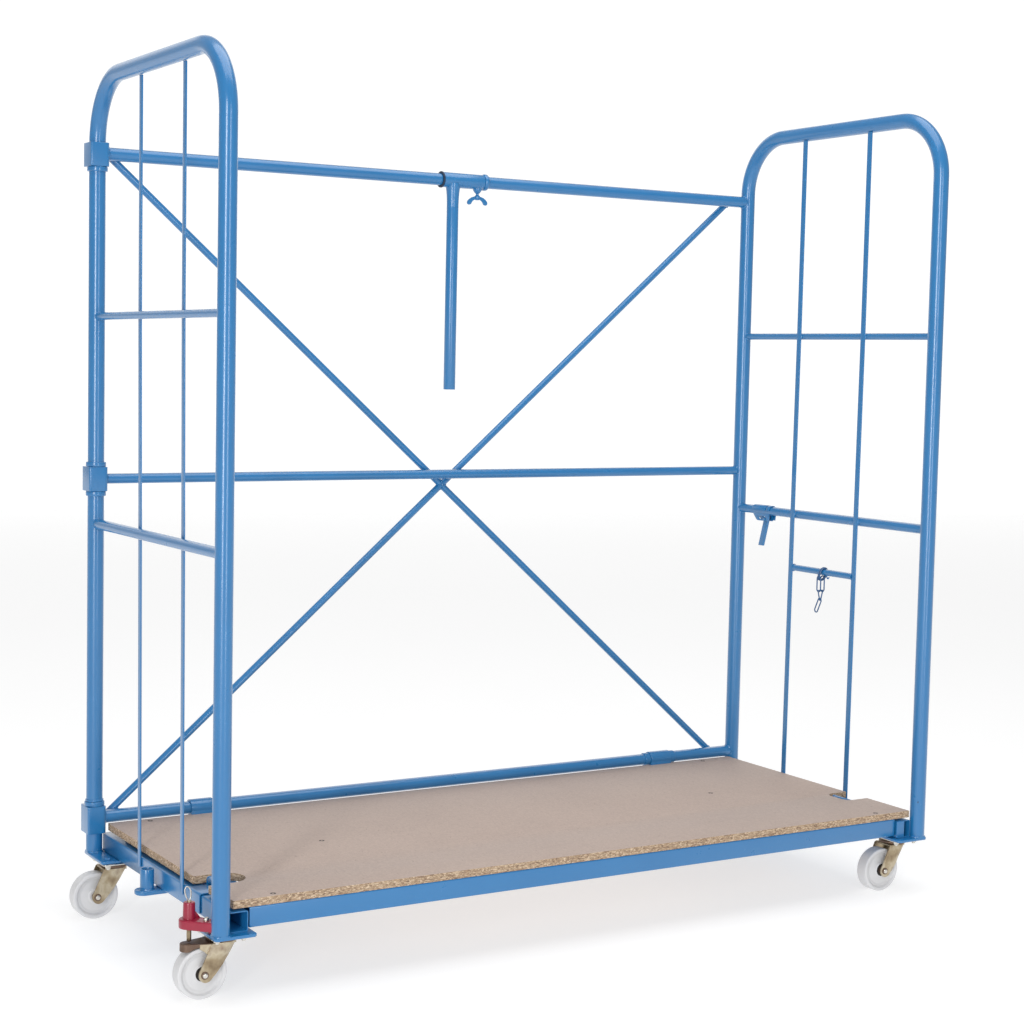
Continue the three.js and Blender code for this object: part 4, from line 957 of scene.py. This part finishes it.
def fork_leg(side):
    """A leg of bent sheet. At each height its middle line runs from the back to the front edge: it
    follows the crown at the top and turns in softly towards its front edge lower down."""
    foot = AXLE_Z - LEG_FOOT * np.sin(np.linspace(0, 1.45, 9))
    z = np.concatenate([np.linspace(LEG_TOP, 52, 24), foot])
    back, front = leg_edges(z)
    u = np.linspace(0, 1, 25)
    at_crown = crown_half(CROWN_BACK + (CROWN_FRONT - CROWN_BACK) * u)
    at_foot = LEG_OUT - 5.0 * np.clip((u - 0.4) / 0.6, 0, 1) ** 2
    share = np.clip((z - 58) / 46, 0, 1)
    share = share ** 2 * (3 - 2 * share)
    narrow = np.clip((z - AXLE_Z) / 26, 0, 1)
    rows = []
    for h, x0, x1, w, n in zip(z, back, front, share, narrow):
        y = w * at_crown + (1 - w) * (LEG_OUT - (LEG_OUT - at_foot) * n)
        path = np.column_stack([x0 + 0.4 + (x1 - x0 - 0.8) * u, side * (y - LEG_THICK / 2)])
        rows.append(lifted(strip(path, LEG_THICK), "z", h))
    return skin(rows)


def hanging(path, drop, thick=2.6):
    """A sheet that hangs from the crown along a path, by a drop that changes along it."""
    outline = strip(path, thick)
    whole = np.concatenate([drop, drop[::-1]])
    return skin([lifted(outline, "z", LEG_TOP - t * whole) for t in np.linspace(0, 1, 5)])


def fork_parts():
    """The crown, the two legs and the short apron between them in front."""
    x = np.linspace(CROWN_BACK + 2, CROWN_FRONT, 30)
    half = crown_half(x)
    corner = [(CROWN_BACK, -LEG_OUT + 3), (CROWN_BACK + 0.9, -LEG_OUT + 0.9)]
    nose = arc(0, 0, CROWN_R, -29, 29, 12)
    far = [(CROWN_BACK + 0.9, LEG_OUT - 0.9), (CROWN_BACK, LEG_OUT - 3)]
    near_side, far_side = np.column_stack([x, -half]), np.column_stack([x, half])[::-1]
    crown = np.vstack([corner, near_side, nose, far_side, far])
    front = arc(0, 0, CROWN_R - 1.5, -52, 52, 24)
    drop = 8 - 5.5 * np.linspace(-1, 1, 25) ** 2
    return [
        slab(crown, "z", CROWN_TOP - 4, CROWN_TOP, 1.4),
        fork_leg(-1),
        fork_leg(1),
        hanging(front, drop),
    ]


def ear_parts():
    """The ear for the lock pin: a tongue on the crown, and a lip round its end, over the wheel."""
    reach, radius = 69.0, 14.5
    tongue = np.vstack([arc(-reach, 0, radius, 90, 270, 24), [(-15, -LEG_OUT), (-15, LEG_OUT)]])
    flank = np.column_stack([np.linspace(-46, -67, 8), np.linspace(-18.4, -13.4, 8)])
    edge = np.vstack([flank, arc(-reach, 0, radius - 1.3, 266, 94, 24), flank[::-1] * [1, -1]])
    from_axle = np.minimum(np.abs(edge[:, 0] + TRAIL), 48)
    over_wheel = AXLE_Z + np.sqrt(49.6 ** 2 - from_axle ** 2) + 3.0
    deep = np.minimum(LEG_TOP - over_wheel, 13.0)
    return [slab(tongue, "z", CROWN_TOP - 4, CROWN_TOP, 1.4), hanging(edge, deep)]


def ear_gussets():
    """Beside the wheel the fork's sheet sweeps from the legs out to the ear, and gets shallower."""
    sweep = np.linspace(0, 1, 16)
    parts = []
    for side in (-1, 1):
        path = np.column_stack([-24 - 27 * sweep, side * (LEG_OUT - 1.6 - 7.2 * sweep ** 1.2)])
        parts.append(hanging(path, 9 + 27 * (1 - sweep) ** 1.4, 2.4))
    return parts


def wheel_skin():
    """A nylon wheel: its hub, the shallow dish with a ring in it, the rim and a rounded tread."""
    half = np.vstack([[
        (5.4, 14.6), (5.9, 15.0), (13.6, 15.0), (15.0, 13.8), (16.4, 11.2), (18.4, 10.3),
        (30.0, 10.3), (31.0, 9.7), (33.5, 9.7), (34.5, 10.3), (37.6, 10.3), (39.6, 11.2),
        (41.4, 13.8), (42.6, 14.8), (44.0, 15.0), (46.0, 15.0),
    ], arc(AXLE_Z - 3, 12, 3, 90, 0, 6)])
    return turned([*half, *half[::-1] * [1, -1]], "y", AXLE_AT, 96, ring=True)


def both_sides(profile, sides, ring=False):
    """A profile turned round the axle, on each side of the wheel."""
    return [turned(profile * np.array([1, side]), "y", AXLE_AT, sides, ring) for side in (-1, 1)]


def hexagon(radius, low, high, centre):
    """A nut or a bolt head: six sides with its corners turned down."""
    rows = [(0.9, low), (1.0, low + 0.7), (1.0, high - 0.7), (0.9, high)]
    return turned([(radius * share, h) for share, h in rows], "z", centre, 6)


def fixing_parts():
    """Under the mounting plate: a nut and the end of its bolt at each corner."""
    stud = [(3.6, 121.0), (3.8, 111.8), (3.2, 111.2), (0.1, 111.2)]
    parts = []
    for place in ((-27, -42, 0), (27, -42, 0), (-27, 42, 0), (27, 42, 0)):
        parts += [hexagon(6.6, 114.6, 121.2, place), turned(stud, "z", place, 20)]
    return parts


def bolt_heads(side, end):
    """The painted heads on top of the corner plate, where the beam and the upright leave room."""
    place = (side * 26, -end * 36, 0)
    washer = turned([(7.6, 129.8), (7.6, 131.2), (0.1, 131.3)], "z", place, 32)
    return [washer, hexagon(5.6, 131.0, 135.4, place)]


# On the axle: a bolt with round heads, washers under them, spacers up to the hub, and near-black
# rings of painted shade in the gap at the hub's bearing
shaft = turned([(5.0, -LEG_OUT - 1), (5.0, LEG_OUT + 1)], "y", AXLE_AT, 24)
axle = [shaft, *both_sides([(r, LEG_OUT + 0.8 + h) for r, h in domed(5.2, 3.6, 2.4)], 40)]
washers = both_sides([(7.6, LEG_OUT), (7.6, LEG_OUT + 1.0), (0.1, LEG_OUT + 1.1)], 40)
spacers = both_sides([(9.5, 15.2), (9.5, LEG_OUT - 3.1)], 32)
gap_shade_rings = both_sides([(6.2, 14.9), (14.2, 14.9), (14.2, 15.35), (6.2, 15.35)], 48, ring=True)

# The ball race under the mounting plate: a drum, its rolled rim and a neck
race = turned([
    (29.2, 109.0), (30.4, 109.4), (31.0, 110.6), (31.0, 113.6), (30.4, 114.8), (28.6, 115.4),
    (26.4, 117.0), (25.0, 119.2), (25.0, 121.4),
], "z", (0, 0, 0), 64)
mounting_plate = slab(rounded(-40, -52, 40, 52, [6] * 4), "z", 121.0, 124.0 - GAP, 0.7)
for wall, side in (("left", -1), ("right", 1)):
    for end_name, end in (("front", -1), ("rear", 1)):
        name = f"{wall}_{end_name}"
        at = (side * CASTOR_X, end * CASTOR_Y, 0.0)
        carrier = WALLS[wall]["body"]
        fork, roller = f"{name}_castor", f"{name}_roller"
        made(f"{name}_mounting_plate", mounting_plate, ZINC, carrier, f"{name}_castor_head", at=at)
        made(f"{name}_race", race, GREASE, carrier, at=at)
        made(f"{name}_nuts", fixing_parts(), ZINC, carrier, at=at)
        made(f"{name}_bolt_head", bolt_heads(side, end), BLUE, carrier, at=at)
        made(f"{name}_fork_sheet", fork_parts(), GOLD, fork, f"{name}_fork", at=at, crease=40)
        made(f"{name}_axle_bolt", axle, ZINC, fork, f"{name}_axle", at=at)
        made(f"{name}_axle_washers", washers + spacers, GREASE, fork, at=at)
        made(f"{name}_nylon_wheel", wheel_skin(), NYLON, roller, f"{name}_wheel", at=at)
        # The near-black rings at the hub are painted shade in its bearing gap.
        if end < 0:
            made(f"{name}_hub_gap_shade", gap_shade_rings, RECESS_SHADE, roller, at=at)
        if wall == "left" and end < 0:
            made("lock_ear", ear_parts(), GREASE, fork, at=at, crease=40)
            made("lock_ear_gussets", ear_gussets(), GOLD, fork, at=at, crease=40)


# Direction lock: a red casting by the left front upright, its pin and its wire pull
PIN_AT = (-907.0, -299.0, 0.0)
LOCK_BOLT_AT = (-884.5, -328.0, 0.0)


def casting_outline():
    """A body from the pin to the upright: its straight sides touch a wide and a slim round end."""
    start, stop = np.array(PIN_AT[:2]), np.array([-876.0, -340.0])
    wide, slim = 19.5, 13.5
    gap = stop - start
    heading = np.degrees(np.arctan2(gap[1], gap[0]))
    open_by = np.degrees(np.arccos((wide - slim) / np.hypot(*gap)))
    return np.vstack([
        arc(*start, wide, heading + open_by, heading + 360 - open_by, 32),
        arc(*stop, slim, heading - open_by, heading + open_by, 18),
    ])


casting = [
    slab(casting_outline(), "z", 137.5, 155.5, 2.8, 4),
    turned([
        (12.2, 153), (11.9, 157), (11.2, 184), (10.6, 186.2), (9.4, 187), (5.2, 187),
    ], "z", PIN_AT, 48),
    slab([(-898, 154), (-885, 154), (-896.6, 170)], "y", -304, -297, 1.2),
    turned([(8.0, PLATE_TOP + 0.2), (8.0, 139)], "z", (-871.0, -326.0, 0), 32),
]
made("lock_casting", casting, RED, "left_wall", "lock_body")
made("lock_casting_bolt", [
    turned([(6.2, 155.2), (6.2, 156.6), (0.1, 156.7)], "z", LOCK_BOLT_AT, 32),
    turned([
        (5.2, 156.5), (5.2, 159.4), (4.4, 161.0), (2.6, 162.0), (0.1, 162.3),
    ], "z", LOCK_BOLT_AT, 32),
], ZINC, "left_wall")


def pull_path():
    """A wire pull: a tall loop that narrows at its foot, in the pin, and leans at its top."""
    t = np.linspace(0, 2 * np.pi, 64, endpoint=False)
    x = PIN_AT[0] + np.sin(t) * (5.6 - 1.8 * np.cos(t)) - 2.2 * (1 - np.cos(t))
    return np.column_stack([x, np.full(64, PIN_AT[1]), 202.3 - 13.7 * np.cos(t)])


made("lock_pin_rod", turned(
    [(3.0, 111.2), (4.6, 114.0), (4.6, 188.4), (3.6, 189.4), (0.1, 189.5)], "z", PIN_AT, 28,
), GOLD, "direction_lock_pin", "lock_pin")
pull = carried(pull_path(), 1.3, (0, 1, 0), ring=True, sides=14)
made("lock_pin_pull", pull, ZINC, "direction_lock_pin")

# Coupling socket: a tube on an oval flange outside the left beam
SOCKET = (-872.0, 15.0, 0.0)
flange = rounded(-897.5, -4.0, -824, 34.0, [18.6, 4, 4, 18.6], 12)
mouth = pipe(circle(14.0, 56), circle(11.0, 56), "z", 122.4, 172, 0.7)
around = lifted(circle(1, 72), "z", 0.0)
made("socket_tube", [
    slab(flange, "z", 120.5, PLATE_TOP, 2.6, 4),
    moved(mouth, SOCKET),
    bead(around * 14.2 + SOCKET + [0, 0, PLATE_TOP + 0.4], around, 1.6, 22),
], BLUE, "left_wall", "coupling_socket")

# Support arm: the liner's flanges, the sleeve that turns on it, the hanging tube and the wing bolt
ARM_AT = (0.0, BACK_Y, BACK_TOP_Z)
HANGING_AT = (-4.0, BACK_Y, 0)
WING_AT = (62.0, BACK_Y, 0)
LINER_BORE = RAIL_R + 0.4
made("arm_liner_tube", [
    collar(-38.4, -34.2, 19, LINER_BORE, ARM_AT, "x", 1.2),
    moved(pipe(circle(15.2), circle(LINER_BORE), "x", -35, 81, 0.1), ARM_AT),
], LINER, "arm_liner", "arm_bush")
made("arm_liner_rim", collar(74.5, 86.5, 19.4, LINER_BORE, ARM_AT, "x", 4.5), BLUE, "arm_liner")
flare = [(14.03 + 3.4 * t ** 2.4, 1566 + 50.0 * t) for t in np.linspace(0, 1, 14)]
boss = [(10.8, 1616.5), (10.7, 1611.4), (9.8, 1608.4), (7.4, 1605.0), (5.4, 1602.6), (4.6, 1602.2)]
made("support_arm_tube", [
    moved(pipe(circle(17.5, 64), circle(15.6, 64), "x", -33.7, 74.2, 1.0, 3), ARM_AT),
    moved(pipe(circle(14, 56), circle(12.5, 56), "z", 1140, 1612, 0.4), HANGING_AT),
    turned([*flare, (17.45, 1622)], "z", HANGING_AT, 56),
    turned(boss, "z", WING_AT, 40),
], BLUE, "arm", "support_arm")


def wing(side):
    """A wing of the bolt: a flat strip that bends down and widens to a round end."""
    t = np.linspace(0, 1, 26)
    turn = np.radians(82 * t)
    path = np.column_stack([side * 23.5 * np.sin(turn), 1592.5 - 20.0 * (1 - np.cos(turn))])
    round_end = np.sqrt(np.clip(1 - ((t - 0.74) / 0.262).clip(0) ** 2, 0.02, 1))
    wide = (3.0 + 3.6 * t ** 1.2) * round_end
    across = left_of(direction(path)) * wide[:, None]
    return slab(np.vstack([path + across, (path - across)[::-1]]), "y", -2.3, 2.3, 0.9)


shank = turned([
    (4.0, 1613.2), (4.0, 1602.0), (3.4, 1600.5), (3.6, 1598.6), (6.2, 1596.4), (6.6, 1594.2),
    (6.4, 1588.6), (4.8, 1586.8), (0.1, 1586.2),
], "z", (0, 0, 0), 36)
made("wing_bolt_body", [shank, wing(1), wing(-1)], BLUE, "arm_wing_bolt", "wing_bolt", at=WING_AT)

# Catch: a saddle of bent sheet over the right rail, two cheeks with a slot, a pin and a lever
CATCH_PIN = (235.0, 822.0)
CHEEK_OUT = 7.4


def reaching(outline, centre, angles):
    """Where rays from a centre leave a convex outline: at the nearest edge that they cross."""
    outline = tidy(outline)
    edge = np.roll(outline, -1, axis=0) - outline
    out = np.column_stack([edge[:, 1], -edge[:, 0]])
    ray = np.column_stack([np.cos(angles), np.sin(angles)])
    rate = ray @ out.T
    away = np.sum(out * (outline - centre), axis=1)
    reach = np.min(np.where(rate > 1e-9, away / np.where(rate > 1e-9, rate, 1), np.inf), axis=1)
    return centre + ray * reach[:, None]


def cheek(x):
    """A plate with cut corners and a long slot: the same rays from the slot's middle meet both."""
    middle = np.array([245.0, 825.3])
    angles = np.linspace(0, 2 * np.pi, 96, endpoint=False)
    slot = rounded(233, 821.8, 257, 828.8, [3.0] * 4, 8)
    plate = [
        (217, 846), (216.6, 826), (221, 817.4), (264, 817.4), (270, 822), (281, 834), (281, 846),
    ]
    outer, inner = (reaching(outline, middle, angles) for outline in (plate, slot))
    return pipe(outer, inner, "x", x - 1.2, x + 1.2, 0.35)


def saddle(low, high, outer):
    """Half a round of sheet over the rail."""
    over, under = arc(0, 0, outer, 0, 180, 24), arc(0, 0, MID_R + 0.4, 180, 0, 24)
    return slab(np.vstack([over, under]) + [WALL_X, MID_RAIL_Z], "y", low, high, 0.4)


def leant(flat, degrees):
    """Flat points turned left by some degrees about (0, 0)."""
    lean = np.radians(degrees)
    return flat @ [[np.cos(lean), np.sin(lean)], [-np.sin(lean), np.cos(lean)]]


def lever():
    """A flat lever: round at its pin and cut level at its end, with a lean."""
    lean, half, long = 16, 8.8, 71.5
    cut = half * np.tan(np.radians(lean))
    flat = np.vstack([arc(0, 0, half, 0, 180, 14), [(-half, cut - long), (half, -cut - long)]])
    return slab(leant(flat, lean) + CATCH_PIN, "x", WALL_X - 3.0, WALL_X + 3.0, 0.9)


pin_head = [(4.4, -8.6), (4.4, -10.0), (2.4, -10.8), (0.1, -10.9)]
made("catch_saddle", [
    saddle(227.4, 281, 13.8),
    saddle(212.0, 225.0, 13.4),
    cheek(WALL_X - CHEEK_OUT),
    cheek(WALL_X + CHEEK_OUT),
    slab([(208, 838), (218, 838), (218, 820), (211, 820)], "x", WALL_X + 6.2, WALL_X + 8.6, 0.4),
    turned([(3.0, -9.4), (3.0, 9.4)], "x", (WALL_X, *CATCH_PIN), 24),
    turned(pin_head, "x", (WALL_X, *CATCH_PIN), 24),
], BLUE, "frame", "catch_bracket")
made("catch_lever_bar", lever(), BLUE, "catch", "catch_lever")

# Chain on its bar between the two flat rods of the right wall
CHAIN_X, CHAIN_Y = 857.0, -5.0
HUNG_X, HUNG_Y = CHAIN_X - 4.0, CHAIN_Y + 7.0
ends = [(CHAIN_X, y, CHAIN_BAR_Z) for y in (-110.2, 110.2)]
end_beads = [collar_bead(end, "y", BAR_R, 1.5) for end in ends]
made("chain_rail", [straight(*ends, BAR_R), *end_beads], BLUE, "frame", "chain_bar")


def oval(width, length):
    """A long loop: two half circles joined by straight sides, measured along the wire's middle."""
    r, h = width / 2, (length - width) / 2
    return np.vstack([arc(0, h, r, 0, 180, 12), arc(0, -h, r, 180, 360, 12)])


def link(path, plane, centre):
    """A closed loop of wire in a plane across an axis, hung at a place."""
    normal = lifted(np.zeros((1, 2)), plane, 1.0)[0]
    return carried(lifted(path, plane, 0.0) + centre, 1.6, normal, ring=True, sides=12)


def ring_path(y_offset):
    """A ring over the bar: an oval whose lower end drifts to where the links hang."""
    tall = 30.5
    flat = oval(20.4, tall)
    down = 0.5 - flat[:, 1] / tall
    return np.column_stack([
        CHAIN_X + flat[:, 0] + (HUNG_X - CHAIN_X) * down,
        CHAIN_Y + y_offset + (HUNG_Y - CHAIN_Y) * down,
        706.2 + flat[:, 1],
    ])


made("chain_ring", [
    carried(ring_path(shift), 1.9, (0, 1, 0), ring=True, sides=14) for shift in (-2.4, 2.0)
], CHAIN, "upper_chain", "chain_top_link")
for name, x in (("left", -5.6), ("right", 5.6)):
    loop = link(oval(13.5, 38.4), "x", (HUNG_X + x, HUNG_Y, 681.6))
    made(f"chain_{name}_loop", loop, CHAIN, "upper_chain", f"chain_{name}_link")
pear = link(np.vstack([
    arc(5.8, -1.4, 1.4, 90, 0, 4),
    arc(0, -22.4, 1.9, 0, -180, 8),
    arc(-5.8, -1.4, 1.4, 180, 90, 4),
]), "y", (HUNG_X, HUNG_Y, 665.5))
made("chain_pear_loop", pear, CHAIN, "lower_chain", "chain_lower_link")
end_loop = link(leant(oval(11.0, 38) - [0, 17.2], 26), "x", (HUNG_X, HUNG_Y, 643.6))
made("chain_end_loop", end_loop, CHAIN, "end_chain", "chain_end_link")
hook = bent([(-14.5, 704.2), (-17.5, 696.6), (-22, 696.6), (-23.6, 700.4)], 2.2)
hook_path = lifted(hook, "x", CHAIN_X)
made("chain_hook", carried(hook_path, 1.5, (1, 0, 0), sides=12), BLUE, "frame")

# A small hole in the right front upright, seen from the open side: a near-black disc of painted
# shade inside it
hole = [(2.4, -17.6), (2.4, -17.0), (0.1, -17.0)]
hole_at = (WALL_X - 10.5, -BACK_Y + 4.0, 214.0)
made("upright_hole", turned(hole, "y", hole_at, 20), RECESS_SHADE, "frame")


# Studio: a pale floor, a pale backdrop and soft lights
def screen(name, corners, tone, own_light):
    """A plain flat sheet through four corners, in metres, that gives off a little light itself."""
    mesh = bpy.data.meshes.new(name)
    mesh.from_pydata(corners, [], [(0, 1, 2, 3)])
    paint = Paint(name, 0.85, specular=0.1)
    paint.put(colour=paint.mixed(paint.noise(0.6, 2), tone, [c * 0.97 for c in tone]))
    paint.surface.inputs["Emission Color"].default_value = (1.0, 1.0, 1.0, 1.0)
    paint.surface.inputs["Emission Strength"].default_value = own_light
    mesh.materials.append(paint.material)
    sheet = bpy.data.objects.new(name, mesh)
    bpy.context.scene.collection.objects.link(sheet)


def soft_light(name, place, target, size, power):
    """A rectangular soft light that faces a place."""
    light = bpy.data.lights.new(name, "AREA")
    light.shape = "RECTANGLE"
    light.size, light.size_y = size
    light.energy = power
    lamp = bpy.data.objects.new(name, light)
    lamp.location = place
    lamp.rotation_euler = (Vector(target) - Vector(place)).to_track_quat("-Z", "Y").to_euler()
    bpy.context.scene.collection.objects.link(lamp)


FLOOR = 30.0
FLOOR_Z = -0.0005
screen("studio_floor", [
    (x * FLOOR, y * FLOOR, FLOOR_Z) for x, y in ((-1, -1), (1, -1), (1, 1), (-1, 1))
], (0.5, 0.5, 0.5), 0.6)
screen("studio_backdrop", [
    (-4.0, 13.0, -1.0), (15.0, 7.0, -1.0), (15.0, 7.0, 9.0), (-4.0, 13.0, 9.0),
], (0.1, 0.1, 0.1), 1.0)
soft_light("left_strip", (-5.9, -5.75, 1.5), (0.0, -0.35, 0.9), (0.8, 5.0), 270)
soft_light("front_strip", (-0.4, -4.5, 1.3), (-0.4, -0.35, 0.9), (0.4, 2.6), 32)
soft_light("top_light", (0.0, -0.6, 4.6), (0.0, 0.0, 0.0), (4.5, 3.5), 100)
surround = bpy.data.worlds.new("surround")
surround.use_nodes = True
surround.node_tree.nodes["Background"].inputs["Color"].default_value = (1.0, 1.0, 1.0, 1.0)
surround.node_tree.nodes["Background"].inputs["Strength"].default_value = 0.44
scene = bpy.context.scene
scene.world = surround
scene.view_settings.view_transform = "Standard"
scene.view_settings.look = "None"
